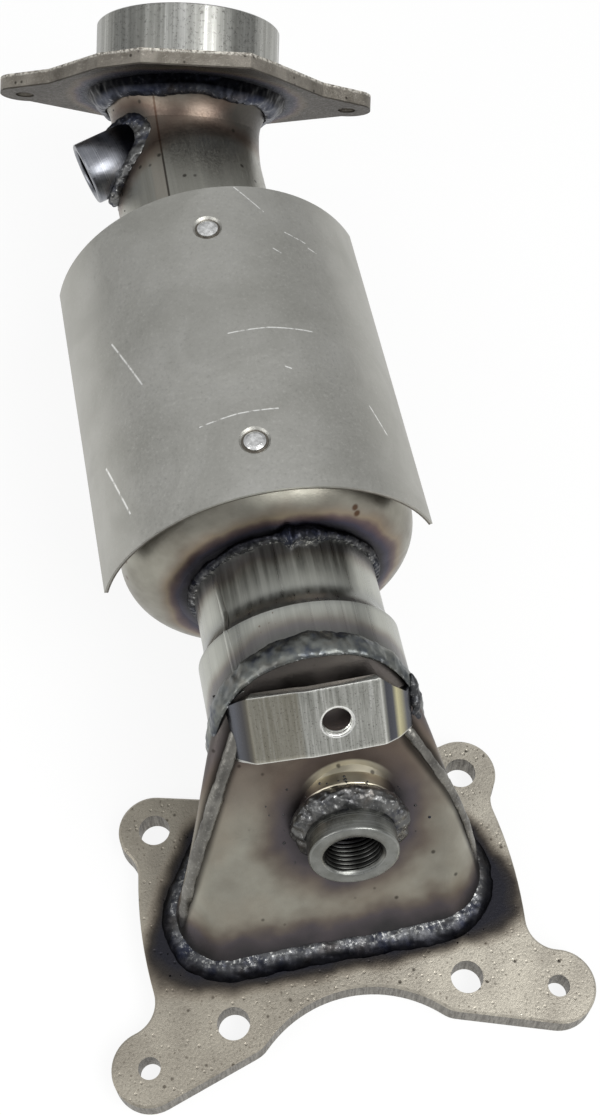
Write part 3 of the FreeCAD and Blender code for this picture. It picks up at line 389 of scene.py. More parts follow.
def bent_tube_stainless():
    """Mandrel-bent outlet elbow: dull grey with drawing lines, a seam strip along its top with a dark line at
    its edge, a faint tint by the flange and brown heat marks round the boss."""
    material, tree, shader, place = start("bent_tube_stainless", 0.36)
    streaks = add(tree, "TexNoise", (drawn_out(tree, place, Y, 0.97), 0.55, 4.0, 0.65))
    base = add(tree, "ValToRGB", (streaks,),
               stops=((0.3, "94938A"), (0.5, "9A9991"), (0.65, "9F9E95"), (0.8, "A6A59B")))
    split = add(tree, "SeparateXYZ", (place,)).node.outputs
    drift = add(tree, "MapRange", (split["Y"], 235.0, 320.0, -10.6, -8.2))
    seam = add(tree, "Math", (split["X"], drift), operation="SUBTRACT")
    upper = fade(tree, above(tree, place, BEND_POINT, Z), 2.0, -2.0)
    strip = add(tree, "Math", (fade(tree, seam, -0.2, 0.2), fade(tree, seam, -4.8, -4.2)),
                operation="SUBTRACT")
    base = blend_in(tree, base, add(tree, "Math", (strip, upper), operation="MULTIPLY"), "A29C91", 0.6)
    line = fade(tree, add(tree, "Math", (seam,), operation="ABSOLUTE"), 0.15, 0.55)
    base = blend_in(tree, base, add(tree, "Math", (line, upper), operation="MULTIPLY"), "2E2822", 0.85)
    low = above(tree, place, BEND_POINT + OUT_DIR * (OUT_FACE - 7.5), -OUT_DIR)
    base = temper(tree, place, base, low, 10.0, 0.25, SOFT_TEMPER)
    boss = from_axis(tree, place, REAR_BOSS_MOUTH, REAR_BOSS_DIR)
    base = temper(tree, place, base, boss, 11.0, 0.8, BROWN_TEMPER, toe=13.0)
    base = blend_in(tree, base, specks(tree, place, 3.6, 0.14), "33302B", 0.8)
    grain = add(tree, "TexNoise", (place, 1.1, 4.0, 0.65))
    finish(tree, shader, base, ((streaks, 0.01), (grain, 0.04)), (grain, 0.3, 0.46))
    return material


def turned_spigot_steel():
    """Outlet spigot: machined, then rubbed lengthwise, bright with dark and light vertical streaks."""
    material, tree, shader, place = start("turned_spigot_steel", 0.3)
    streaks = add(tree, "TexNoise", (drawn_out(tree, place, OUT_DIR, 0.985), 0.22, 5.0, 0.65))
    base = add(tree, "ValToRGB", (streaks,),
               stops=((0.3, "72726D"), (0.46, "8C8C87"), (0.56, "A4A49F"), (0.72, "E2E2DE")))
    fine = add(tree, "TexNoise", (place, 0.9, 4.0, 0.7))
    base = pick_out(tree, base, fine, 0.45, 0.3, "63625C", 0.55)
    base = blend_in(tree, base, specks(tree, place, 3.2, 0.05), "45403A", 0.6)
    foot = above(tree, place, BEND_POINT + OUT_DIR * (OUT_FACE + OUT_T + 0.8), OUT_DIR)
    base = blend_in(tree, base, fade(tree, foot, 0.0, 1.6), "4A443C", 0.8)
    finish(tree, shader, base, ((streaks, 0.05), (fine, 0.04)), (fine, 0.22, 0.42))
    return material


def pressed_cap_stainless():
    """Pressed end caps: olive-grey satin, turning brown and purple in rings round the tube that enters."""
    material, tree, shader, place = start("pressed_cap_stainless", 0.38)
    base = mottle(tree, place, 18.0, "7C786E", "9A988D")
    near = from_axis(tree, place, (NECK_X, 0, CAN_AXIS_Z), Y)
    base = temper(tree, place, base, near, 10.5, 0.95, CAP_TEMPER, toe=NECK_R + 2.8)
    base = blend_in(tree, base, specks(tree, place, 5.0, 0.14), "4A2F1C", 0.85)
    grain = add(tree, "TexNoise", (place, 1.5, 3.0, 0.6))
    rough = (add(tree, "TexNoise", (place, 0.1, 3.0, 0.6)), 0.28, 0.46)
    finish(tree, shader, base, ((grain, 0.03),), rough)
    return material


def rolled_shell_steel():
    """Can shell, rolled sheet: dull grey with faint lines round it and a brown cast from the heat inside."""
    material, tree, shader, place = start("rolled_shell_steel", 0.45)
    rolled = add(tree, "TexNoise", (place, 0.12, 4.0, 0.6))
    hoops = add(tree, "VectorMath", (place, (0.03, 1.0, 0.03)), operation="MULTIPLY")
    lines = add(tree, "TexNoise", {"Vector": hoops, "Scale": 1.4})
    base = add(tree, "ValToRGB", (rolled,), stops=((0.35, "6E665A"), (0.5, "8A857A"), (0.65, "9B988E")))
    finish(tree, shader, base, ((lines, 0.04),), (rolled, 0.36, 0.52))
    return material


# scratches on the shield's top: (x, y) of both ends in mm
SCRATCHES = (((9.4, 235.3), (17.1, 224.8)), ((22.6, 216.7), (28.6, 213.9)), ((29.3, 212.0), (31.6, 210.9)),
             ((17.4, 208.7), (19.4, 207.1)), ((-2.8, 174.7), (10.0, 175.4)), ((10.0, 175.4), (23.0, 174.8)),
             ((-16.7, 143.4), (-5.1, 144.4)), ((-5.1, 144.4), (6.8, 144.3)), ((-38.0, 190.0), (-31.0, 168.0)),
             ((-46.0, 150.0), (-41.0, 128.0)), ((12.0, 160.0), (13.6, 159.2)), ((36.0, 150.0), (39.5, 141.0)))


def aluminised_shield_sheet():
    """Thin aluminised sheet: even satin warm grey, softly mottled, with a few bright handling scratches, and
    its inner face darker as painted shade.
    """
    material, tree, shader, place = start("aluminised_shield_sheet", 0.46)
    base = mottle(tree, place, 26.0, "A8A7A0", "B8B7B1", 0.3, 0.7)
    grain = add(tree, "TexNoise", (place, 1.0, 5.0, 0.75))
    base = pick_out(tree, base, grain, 0.55, 0.72, "D2D2CD", 0.4)
    base = pick_out(tree, base, grain, 0.45, 0.28, "86857E", 0.4)
    smear = add(tree, "TexNoise", {"Vector": place, "Scale": 0.035, "Detail": 3.0, "Distortion": 1.2})
    base = pick_out(tree, base, smear, 0.52, 0.68, "96958E", 0.25)
    # painted shade: the shield's inner face, towards the can, is painted darker
    outer = fade(tree, from_axis(tree, place, (SHIELD_X, 0, CAN_AXIS_Z), Y), SHIELD_R - 0.5, SHIELD_R - 0.9)
    inside = add(tree, "Mix", (outer, colour("6F6A62"), base), data_type="RGBA")
    flat = add(tree, "VectorMath", (place, (1, 1, 0)), operation="MULTIPLY")
    nearest = None
    for start_at, end_at in SCRATCHES:
        away = to_segment(tree, flat, (*start_at, 0.0), (*end_at, 0.0))
        nearest = add(tree, "Math", (nearest, away), operation="MINIMUM") if nearest else away
    broken = add(tree, "TexNoise", (place, 0.5, 2.0, 0.5))
    mark = fade(tree, nearest, 0.08, 0.34)
    unbroken = add(tree, "MapRange", (broken, 0.32, 0.5, 0.0, 1.0))
    share = add(tree, "Math", (mark, unbroken), operation="MULTIPLY")
    base = blend_in(tree, inside, share, "FAFAF6", 0.9)
    rough = (grain, 0.38, 0.54)
    dent = add(tree, "Math", (1.0, share), operation="SUBTRACT")
    finish(tree, shader, base, ((smear, 0.5), (grain, 0.03), (dent, 0.04)), rough)
    return material


def bright_stud_steel():
    """Riveted-over stud heads: rubbed bright, softly mottled."""
    material, tree, shader, place = start("bright_stud_steel", 0.22)
    base = mottle(tree, place, 1.6, "B8B8B6", "F4F4F2")
    finish(tree, shader, base, ((add(tree, "TexNoise", (place, 1.2, 3.0, 0.6)), 0.08),))
    return material


def brushed_strap_steel():
    """Bent strap: bright, belt-finished down its width, with painted light and shade on the legs: a bright
    line and a yellow painted highlight on the right leg, and both legs darker towards their feet.
    """
    material, tree, shader, place = start("brushed_strap_steel", 0.32)
    brushed = add(tree, "TexNoise", (drawn_out(tree, place, SLOPE, 0.96), 1.2, 4.0, 0.65))
    base = add(tree, "ValToRGB", (brushed,),
               stops=((0.3, "8A8A83"), (0.5, "B2B2AB"), (0.65, "C9C9C3"), (0.8, "E4E4DF")))
    fine = add(tree, "TexNoise", (place, 1.8, 4.0, 0.7))
    base = pick_out(tree, base, fine, 0.42, 0.3, "6F6C63", 0.5)
    split = add(tree, "SeparateXYZ", (place,)).node.outputs
    dull_side = fade(tree, split["X"], -4.0, -2.6)
    base = blend_in(tree, base, dull_side, "857F6E", 0.62)
    # painted light and shade on the right leg: a bright line at the bend, a dark band, a yellow painted
    # highlight, then darker down to near black at the foot
    right = add(tree, "MapRange", (split["X"], 20.2, 32.0, 0.0, 1.0))
    right_leg = add(tree, "ValToRGB", (right,),
                    stops=((0.0, "E4E4DE"), (0.07, "8A8A84"), (0.14, "4A4B50"), (0.3, "55565C"),
                           (0.42, "BDB793"), (0.52, "A09A7C"), (0.66, "5A5B60"), (1.0, "1C1C20")))
    base = add(tree, "Mix", (fade(tree, right, 0.02, 0.0), base, right_leg), data_type="RGBA")
    # painted shade on the left leg: darker down to its foot
    left = add(tree, "MapRange", (split["X"], -17.2, -26.0, 0.0, 1.0))
    left_leg = add(tree, "ValToRGB", (left,),
                   stops=((0.0, "6A665A"), (0.25, "4C4B4C"), (0.5, "5E6066"), (1.0, "232327")))
    base = add(tree, "Mix", (fade(tree, left, 0.12, 0.0), base, left_leg), data_type="RGBA")
    edge = add(tree, "Math", (above(tree, place, STRAP_HOLE + SLOPE * 0.7, SLOPE),), operation="ABSOLUTE")
    base = blend_in(tree, base, fade(tree, edge, 10.65, 10.3), "F2F2EC", 0.6)
    mouth = from_axis(tree, place, STRAP_HOLE, FRONT_NORMAL)
    base = blend_in(tree, base, fade(tree, mouth, 5.0, 5.25), "FBFBF6", 0.9)
    finish(tree, shader, base, ((brushed, 0.05), (fine, 0.03)), (fine, 0.24, 0.42))
    return material


def turned_boss_steel(name, mouth, direction, light, dark, blued):
    """Turned sensor bush: even grey with faint tool rings, a heat-dark foot where it is welded, and its bore
    painted near black as painted shade.
    """
    material, tree, shader, place = start(name, 0.34)
    height = above(tree, place, mouth, -direction)
    rings = add(tree, "TexNoise", {"W": height, "Scale": 2.6, "Detail": 3.0}, noise_dimensions="1D")
    base = mottle(tree, place, 6.0, dark, light)
    base = pick_out(tree, base, rings, 0.5, 0.7, "C4C6C4", 0.3)
    foot = add(tree, "MapRange", (height, blued, blued - 7.0, 0.0, 1.0))
    base = add(tree, "Mix", (fade(tree, foot, 0.2, 1.0), base, colour("23242B")), data_type="RGBA")
    # painted shade: the threaded bore is painted near black below its mouth
    bore = fade(tree, from_axis(tree, place, mouth, direction), 8.6, 9.2)
    shaded_bore = add(tree, "Math", (bore, fade(tree, height, 1.6, 0.5)), operation="MULTIPLY")
    base = blend_in(tree, base, shaded_bore, "0D0C0C", 0.95)
    fine = add(tree, "TexNoise", (place, 1.5, 3.0, 0.6))
    finish(tree, shader, base, ((rings, 0.02), (fine, 0.03)), (fine, 0.26, 0.42))
    return material


def weld_bead_metal(name, dark, light, glint, glint_ramp, soot_and_shade, roughness=0.34, shine=0.64):
    """Weld metal as it froze: dark oxide skin in blue and brown patches, with painted highlights as glints
    along its toes, ringed by a paler grey. The attribute across runs from 0 at one toe to 1 at the other."""
    material, tree, shader, place = start(name, roughness)
    base = mottle(tree, place, 5.0, dark, light)
    tones = add(tree, "TexNoise", (place, 0.1, 3.0, 0.6))
    base = pick_out(tree, base, tones, 0.54, 0.68, "4B423A", 0.5)
    base = pick_out(tree, base, tones, 0.46, 0.34, "303850", 0.5)
    grit = add(tree, "TexNoise", (place, 0.9, 4.0, 0.65))
    across = add(tree, "Attribute", out="Fac", attribute_name="across")
    toe = add(tree, "ValToRGB", (across,), stops=glint_ramp)
    base = add(tree, "Mix", (1.0, base, add(tree, "ValToRGB", (across,), stops=soot_and_shade)), data_type="RGBA",
               blend_type="MULTIPLY")
    # painted highlights: glints where the grit noise peaks near a toe, with a paler grey halo round them
    painted_glint = add(tree, "MapRange", (grit, shine - 0.05, shine + 0.04, 0.0, 1.0))
    glint_halo = add(tree, "MapRange", (grit, shine - 0.16, shine, 0.0, 0.3))
    base = blend_in(tree, base, add(tree, "Math", (toe, glint_halo), operation="MULTIPLY"), "9A9B9A")
    base = blend_in(tree, base, add(tree, "Math", (toe, painted_glint), operation="MULTIPLY"), glint, 0.9)
    finish(tree, shader, base, ((grit, 0.06),), (grit, roughness + 0.12, roughness))
    return material


def ceramic_honeycomb():
    """Cordierite block, extruded: buff walls round square channels 1.3 mm apart, painted dark inside as
    painted shade.
    """
    material, tree, shader, place = start("ceramic_honeycomb", 0.85, Metallic=0.0)
    turned = add(tree, "VectorMath", (place, (0.77, 0.0, 0.77)), operation="MULTIPLY")
    cells = add(tree, "VectorMath", (turned,), operation="FRACTION")
    split = add(tree, "SeparateXYZ", (cells,)).node.outputs
    wall = add(tree, "Math", (split["X"], split["Z"]), operation="MINIMUM")
    shaded_channel = add(tree, "MapRange", (wall, 0.16, 0.22, 0.0, 1.0))
    base = blend_in(tree, mottle(tree, place, 8.0, "B5A78E", "CFC3AC"), shaded_channel, "3B342B", 0.85)
    finish(tree, shader, base, ((add(tree, "Math", (1.0, shaded_channel), operation="SUBTRACT"), 0.5),))
    return material


def ceramic_fibre_mat():
    """Needled ceramic fibre: off-white, matt and woolly, speckled brown with vermiculite."""
    material, tree, shader, place = start("ceramic_fibre_mat", 0.95, Metallic=0.0)
    wool = add(tree, "TexNoise", {"Vector": place, "Scale": 0.9, "Detail": 6.0, "Distortion": 2.0})
    base = add(tree, "ValToRGB", (wool,), stops=((0.3, "B8AE9C"), (0.6, "DCD6CA"), (0.8, "EFEBE2")))
    base = blend_in(tree, base, specks(tree, place, 2.0, 0.4), "8A6F4A", 0.8)
    finish(tree, shader, base, ((wool, 0.4),))
    return material


def dress(finishes):
    """Gives every node on the list its material."""
    for material, names in finishes:
        for name in names:
            mesh = frame["nodes"][name].data
            mesh.materials.clear()
            mesh.materials.append(material)


TUBE = drawn_tube_stainless()
FRONT_BOSS_STEEL = turned_boss_steel("turned_boss_steel", FRONT_BOSS_MOUTH, FRONT_BOSS_DIR,
                                     "7E7F7B", "666762", 14.0)
REAR_BOSS_STEEL = turned_boss_steel("blued_boss_steel", REAR_BOSS_MOUTH, REAR_BOSS_DIR,
                                    "8E9096", "74767C", 18.0)
# brightness across a bead, from one toe to the other: where its painted glints go, then how dark it is with
# soot, and on the flange bead with painted shade
UPPER_TOE = ((0.0, "080808"), (0.5, "202020"), (0.72, "B0B0B0"), (0.86, "FFFFFF"))
BOTH_TOES = ((0.0, "FFFFFF"), (0.16, "303030"), (0.84, "303030"), (1.0, "FFFFFF"))
ALL_OVER = ((0.0, "404040"), (0.3, "FFFFFF"), (0.7, "FFFFFF"), (1.0, "404040"))
SOOTY = ((0.0, "3A3A42"), (0.38, "64646C"), (0.62, "C0C0C2"), (1.0, "F0F0F0"))
# painted shade: the flange bead's toe under the outlet flange goes near black, the gap there lying in shade
GAP_SHADE = ((0.0, "101012"), (0.35, "303034"), (0.55, "E0E0E4"), (1.0, "FFFFFF"))
CLEAN = ((0.0, "D0D0D0"), (0.3, "FFFFFF"), (0.7, "FFFFFF"), (1.0, "D0D0D0"))
DARK_WELD = weld_bead_metal("weld_oxide_dark", "45464A", "6E6F70", "D8D8D4", UPPER_TOE, SOOTY, 0.36, 0.6)
BLUE_WELD = weld_bead_metal("weld_oxide_blue", "565A5C", "7C7E79", "E8EAEA", BOTH_TOES, CLEAN, 0.34, 0.62)
SHADED_GAP_WELD = weld_bead_metal("weld_oxide_shaded_gap", "34363F", "5A5E68", "D0D2D8", UPPER_TOE, GAP_SHADE)
ROUGH_WELD = weld_bead_metal("weld_sparkling", "404042", "727270", "F4F4F2", ALL_OVER, CLEAN, 0.32, 0.68)
CAP = pressed_cap_stainless()
LAP = lapped_edge_steel()
STRAP = brushed_strap_steel()

FINISHES = [
    (blasted_plate_steel(), ("inlet_flange",)),
    (sheared_flange_steel(), ("outlet_flange",)),
    (pressed_stainless(), ("housing_front_shell", "housing_rear_shell")),
    (TUBE, ("inlet_neck",)),
    (turned_spigot_steel(), ("outlet_spigot",)),
    (STRAP, ("strap_bracket",)),
    (bent_tube_stainless(), ("outlet_elbow",)),
    (CAP, ("inlet_end_cap", "outlet_end_cap")),
    (rolled_shell_steel(), ("can_shell",)),
    (ceramic_honeycomb(), ("catalyst_brick",)),
    (ceramic_fibre_mat(), ("support_mat",)),
    (aluminised_shield_sheet(), ("heat_shield",)),
    (bright_stud_steel(), ("front_shield_stud", "rear_shield_stud")),
    (FRONT_BOSS_STEEL, ("front_sensor_boss",)),
    (REAR_BOSS_STEEL, ("rear_sensor_boss",)),
    (DARK_WELD, ("housing_base_weld", "front_boss_weld", "neck_housing_weld", "inlet_girth_weld",
                 "outlet_girth_weld", "neck_can_weld", "elbow_can_weld", "rear_boss_weld",
                 "outlet_flange_weld")),
]
dress(FINISHES)


# ---- meshes: small tools -------------------------------------------------------------------
def skin(name, grid, material, stands_for=(), ring=True, across=None):
    """Piece from a grid of points in mm. Columns close on themselves, and so do rows when ring is set;
    otherwise each end row is closed by a fan to its middle. Across is a value carried by each column."""
    rows, columns = grid.shape[:2]
    points = grid.reshape(-1, 3)
    here = np.arange(rows * columns).reshape(rows, columns)
    beside, below = np.roll(here, -1, axis=1), np.roll(here, -1, axis=0)
    quads = np.stack([here, beside, np.roll(beside, -1, axis=0), below], axis=-1)
    faces = quads.reshape(-1, 4) if ring else quads[:-1].reshape(-1, 4)
    a, b, c, d = (points[faces[:, k]] for k in range(4))
    inside_out = np.einsum("ij,ij->", a, np.cross(b, c) + np.cross(c, d)) < 0
    faces = faces.tolist()
    if not ring:
        points = np.vstack([points, grid[0].mean(0), grid[-1].mean(0)])
        first, last = rows * columns, rows * columns + 1
        faces += np.stack([beside[0], here[0], np.full(columns, first)], axis=-1).tolist()
        faces += np.stack([here[-1], beside[-1], np.full(columns, last)], axis=-1).tolist()
    mesh = bpy.data.meshes.new(name)
    mesh.from_pydata((points * MM).tolist(), [], [face[::-1] for face in faces] if inside_out else faces)
    mesh.shade_smooth()
    mesh.materials.append(material)
    if across is not None:
        values = np.resize(np.tile(across, rows), len(points)).astype(np.float32)
        mesh.attributes.new("across", "FLOAT", "POINT").data.foreach_set("value", values)
    return piece(name, mesh, stands_for)


def piece(name, mesh, stands_for=()):
    """Puts a finished mesh on the part's one body, in place of the nodes it stands for."""
    thing = bpy.data.objects.new(name, mesh)
    bpy.context.scene.collection.objects.link(thing)
    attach(thing, "root")
    if stands_for:
        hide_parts(*stands_for)
    return thing


def lumps(points, size, rng, waves=30):
    """Smooth random field, about -1 to 1: the sum of plane waves, each of a random direction and phase and a
    random length near size mm, divided by the root of their number."""
    axes = rng.normal(size=(waves, 3))
    axes /= np.linalg.norm(axes, axis=1, keepdims=True)
    axes *= (2 * math.pi / (size * rng.uniform(0.6, 1.8, waves)))[:, None]
    return np.cos(points @ axes.T + rng.uniform(0, 2 * math.pi, waves)).sum(-1) / math.sqrt(waves)


def unit(vectors):
    """Vectors divided by their lengths."""
    return vectors / np.linalg.norm(vectors, axis=-1, keepdims=True)


def square_to(direction):
    """Two unit vectors square to a direction and to each other."""
    first = unit(np.cross(direction, Z if abs(direction[2]) < 0.9 else X))
    return first, np.cross(direction, first)


def circle(centre, direction, radius, count):
    """Points round a circle, with the outward unit vector at each."""
    angle = np.linspace(0, 2 * math.pi, count, endpoint=False)[:, None]
    first, second = square_to(np.asarray(direction))
    outward = first * np.cos(angle) + second * np.sin(angle)
    return centre + outward * radius, outward


# ---- weld beads ------------------------------------------------------------------------------
def weld_bead(name, path, side_a, side_b, reach_a, reach_b, sweep=(-14, 104), pitch=2.2, ripple=0.08,
              swell=0.3, grit=0.05, seed=1, material=None, stands_for=(), columns=26):
    """Bead along a closed path. Its section is an ellipse's arc swept from surface A to surface B, with the
    given reach on each, and one point inside the metal. The surface moves out by crescent ripples, one a
    pitch, bowed back at both toes, and by coarse and fine random lumps."""
    rng = np.random.default_rng(seed)
    share = np.linspace(0, 1, columns)
    angle = np.radians(sweep[0] + (sweep[1] - sweep[0]) * share)
    a, b = np.cos(angle), np.sin(angle)
    path, side_a, side_b = (np.asarray(v, float) for v in (path, side_a, side_b))
    steps = np.linalg.norm(np.roll(path, -1, axis=0) - path, axis=1)
    along = np.concatenate([[0], np.cumsum(steps)[:-1]])
    length = steps.sum()
    reach_a, reach_b = (np.broadcast_to(r, (len(path),))[:, None, None] for r in (reach_a, reach_b))
    out = side_a[:, None, :] * a[None, :, None] + side_b[:, None, :] * b[None, :, None]
    solid = path[:, None, :] + side_a[:, None, :] * (a[None, :, None] * reach_a) \
        + side_b[:, None, :] * (b[None, :, None] * reach_b)
    turns = round(length / pitch) * along[:, None] / length
    crescents = np.cos(2 * math.pi * (turns + 1.4 * (share[None, :] - 0.5) ** 2))
    ends = np.sin(math.pi * share)[None, :] ** 0.5
    coarse = lumps(solid, 7.0, rng) + 0.45 * lumps(solid, 2.8, rng)
    height = ripple * crescents * ends + swell * coarse * (0.35 + 0.65 * ends) + grit * lumps(solid, 1.3, rng)
    solid = solid + out * height[..., None]
    sunk = path - (side_a + side_b) * 0.6
    return skin(name, np.concatenate([solid, sunk[:, None, :]], axis=1), material, stands_for,
                across=np.append(share, 0.5))


def base_outline(step):
    """Points round the housing's foot, about a step apart, with outward unit vectors: four straight sides
    joined by arcs, each arc touching both of its sides."""
    corners = np.array([(BASE_FRONT_HALF, BASE_FRONT_Y), (BASE_REAR_HALF, BASE_REAR_Y),
                        (-BASE_REAR_HALF, BASE_REAR_Y), (-BASE_FRONT_HALF, BASE_FRONT_Y)])
    radii = (BASE_FRONT_R, BASE_REAR_R, BASE_REAR_R, BASE_FRONT_R)
    arcs, outs = [], []
    for i, radius in enumerate(radii):
        back, ahead = unit(corners[i - 1] - corners[i]), unit(corners[(i + 1) % 4] - corners[i])
        half = math.acos(back @ ahead) / 2
        centre = corners[i] + unit(back + ahead) * radius / math.sin(half)
        first = corners[i] + back * radius / math.tan(half) - centre
        span = math.pi - 2 * half
        turn = np.linspace(0, span, max(3, int(radius * span / step)))[:, None]
        outward = (first * np.cos(turn) - back * radius * np.sin(turn)) / radius
        arcs.append(centre + outward * radius)
        outs.append(outward)
    points, outward = [], []
    for i in range(4):
        start_at, end_at = arcs[i][-1], arcs[(i + 1) % 4][0]
        count = int(np.linalg.norm(end_at - start_at) / step)
        share = np.linspace(0, 1, count, endpoint=False)[1:, None]
        points += [arcs[i], start_at + (end_at - start_at) * share]
        outward += [outs[i], np.repeat(outs[i][-1:], count - 1, axis=0)]
    points, outward = np.vstack(points), np.vstack(outward)
    flat = np.zeros((len(points), 1))
    return np.hstack([points, flat + PLATE_TOP]), np.hstack([outward, flat])


def base_bead():
    """Heavy bead round the housing's foot. The wall leans in at the front and sides and out at the rear."""
    path, outward = base_outline(0.4)
    lean = np.interp(outward[:, 1], [-1, 0.2, 0.9, 1], [0.66, 0.6, -0.15, -0.2])[:, None]
    wall = unit(Z - outward * lean)
    share = np.linspace(0, 1, len(path))
    reach = 3.5 + 0.4 * np.cos(2 * math.pi * 3 * share)
    rise = 4.1 + 0.5 * np.sin(2 * math.pi * 4 * share)
    weld_bead("base_bead", path, outward, wall, reach, rise, ripple=0.05, swell=0.3, grit=0.025, seed=11,
              material=DARK_WELD, stands_for=("housing_base_weld",))


def ring_bead():
    """Band of weld over the mitred joint of housing and neck: a low dome across it, 8 to 9 mm wide."""
    angle = np.linspace(0, 2 * math.pi, 640, endpoint=False)[:, None]
    tall = COLLAR_R / math.cos(TILT)
    outward = unit(X * np.sin(angle) / COLLAR_R + COLLAR_UP * np.cos(angle) / tall)
    path = COLLAR_CENTRE + X * (COLLAR_R * np.sin(angle)) + COLLAR_UP * (tall * np.cos(angle))
    across = np.repeat(COLLAR_NORMAL[None, :], len(path), axis=0)
    turn = angle[:, 0]
    width = 4.4 + 0.5 * np.cos(2 * turn + 0.6) + 0.4 * np.cos(5 * turn)
    height = 2.0 + 0.35 * np.cos(3 * turn)
    weld_bead("ring_bead", path - outward * 0.2, across, outward, width, height, sweep=(-8, 188),
              pitch=3.4, ripple=0.05, swell=0.24, grit=0.02, seed=23, material=BLUE_WELD,
              stands_for=("neck_housing_weld",))


def tube_bead(name, node, centre, direction, radius, foot, rise, blobs, seed, material=BLUE_WELD):
    """Slim bead round a tube on a cap's face, swollen into blobs: each a bell curve of its size, at its angle
    in degrees from +Z and of its width."""
    path, outward = circle(centre, direction, radius, 560)
    around = np.degrees(np.arctan2(outward @ X, outward @ Z))
    gain = sum(size * np.exp(-((around - at) / width) ** 2) for at, width, size in blobs)
    along = np.repeat(np.asarray(direction)[None, :], len(path), axis=0)
    weld_bead(name, path, outward, along, foot + gain * 1.2, rise + gain, seed=seed, material=material,
              swell=0.3, stands_for=(node,))


def collar_bead():
    """Heavy rough bead round the front boss: a profile from the drawn collar's edge up on to the boss,
    turned about the boss's axis, with a coarse froth of lumps."""
    rng = np.random.default_rng(31)
    rise = np.array([14.9, 14.6, 13.6, 12.2, 10.8, 9.4, 8.2, 7.4, 7.0, 7.2])
    stand = np.array([0.6, 1.9, 3.3, 4.1, 4.3, 3.9, 2.9, 1.5, 0.3, -0.8])
    share = np.linspace(0, 1, 44)
    knots = np.linspace(0, 1, len(rise))
    height, out = np.interp(share, knots, rise), np.interp(share, knots, stand)
    path, outward = circle(FRONT_BOSS_MOUTH, FRONT_BOSS_DIR, FRONT_BOSS_R, 400)
    solid = path[:, None, :] + outward[:, None, :] * out[None, :, None] \
        - FRONT_BOSS_DIR * height[None, :, None]
    swell = np.sin(math.pi * share)[None, :] ** 0.5
    froth = 0.38 * lumps(solid, 5.0, rng) + 0.09 * lumps(solid, 1.8, rng) + 0.025 * lumps(solid, 0.9, rng)
    solid = solid + (outward[:, None, :] - 0.4 * -FRONT_BOSS_DIR) * (froth * (0.3 + 0.7 * swell))[..., None]
    back = path - outward * 0.8 - FRONT_BOSS_DIR * 15.2
    solid = np.concatenate([solid, back[:, None, :]], axis=1)
    skin("collar_bead", solid, ROUGH_WELD, ("front_boss_weld",), across=np.append(share, 0.5))


def elbow_line(count=600):
    """Centre line of the elbow: straight from the can, an arc of the bend radius, then straight on."""
    bend = math.acos(OUT_DIR @ Y)
    setback = ELBOW_BEND_R * math.tan(bend / 2)
    inward = unit(OUT_DIR - Y * (OUT_DIR @ Y))
    first = BEND_POINT - Y * setback
    turn = np.linspace(0, bend, count // 2)[:, None]
    arc = first + Y * (ELBOW_BEND_R * np.sin(turn)) + inward * (ELBOW_BEND_R * (1 - np.cos(turn)))
    straight = first - Y * np.linspace(45, 0, count // 2, endpoint=False)[:, None]
    tail = arc[-1] + OUT_DIR * np.linspace(0, 20, 60)[1:, None]
    return np.vstack([straight, arc, tail])


def boss_foot(count=260):
    """Where the rear boss meets the elbow: from each point of its rim, the first depth at which the point is
    within the tube's radius of the centre line. Returns points and outward vectors."""
    rim, outward = circle(REAR_BOSS_MOUTH, REAR_BOSS_DIR, REAR_BOSS_R, count)
    line = elbow_line()
    depths = np.linspace(4, 34, 240)
    probe = rim[:, None, :] - REAR_BOSS_DIR * depths[None, :, None]
    gap = np.array([np.linalg.norm(row[:, None, :] - line[None], axis=-1).min(1) for row in probe])
    depth = depths[np.argmax(gap < ELBOW_R, axis=1)]
    smooth = np.fft.irfft(np.fft.rfft(depth) * (np.arange(count // 2 + 1) < 9), count)
    return rim - REAR_BOSS_DIR * smooth[:, None], outward


def rear_boss_bead():
    """Lumpy bead in the corner between the rear boss and the elbow. The tube's side falls away round the
    boss, so the bead's foot follows the surface: outward, leaned back by the slope of the joint there."""
    path, outward = boss_foot()
    line = elbow_line()
    nearest = line[np.linalg.norm(path[:, None, :] - line[None], axis=-1).argmin(1)]
    normal = unit(path - nearest)
    foot = unit(outward - normal * np.einsum("ij,ij->i", outward, normal)[:, None])
    along = np.repeat(REAR_BOSS_DIR[None, :], len(path), axis=0)
    share = np.linspace(0, 2 * math.pi, len(path), endpoint=False)
    reach, rise = 3.2 + 0.7 * np.sin(3 * share), 3.0 + 0.8 * np.cos(2 * share)
    weld_bead("rear_boss_bead", path, foot, along, reach, rise, swell=0.5, grit=0.06, seed=41,
              material=ROUGH_WELD, stands_for=("rear_boss_weld",))


def flange_bead():
    """Heavy bead under the outlet flange, where the flared elbow meets it, in heavy laps."""
    path, outward = circle(BEND_POINT + OUT_DIR * OUT_FACE, OUT_DIR, FLARE_R - 0.8, 560)
    share = np.linspace(0, 2 * math.pi, len(path), endpoint=False)
    down = unit(-OUT_DIR - outward * 0.42)
    reach, rise = 3.4 + 0.4 * np.cos(5 * share + 1), 6.2 + 0.6 * np.cos(7 * share)
    weld_bead("flange_bead", path, outward, down, reach, rise, pitch=9.0, ripple=0.1, swell=0.3, grit=0.02,
              seed=51, material=SHADED_GAP_WELD, stands_for=("outlet_flange_weld",))


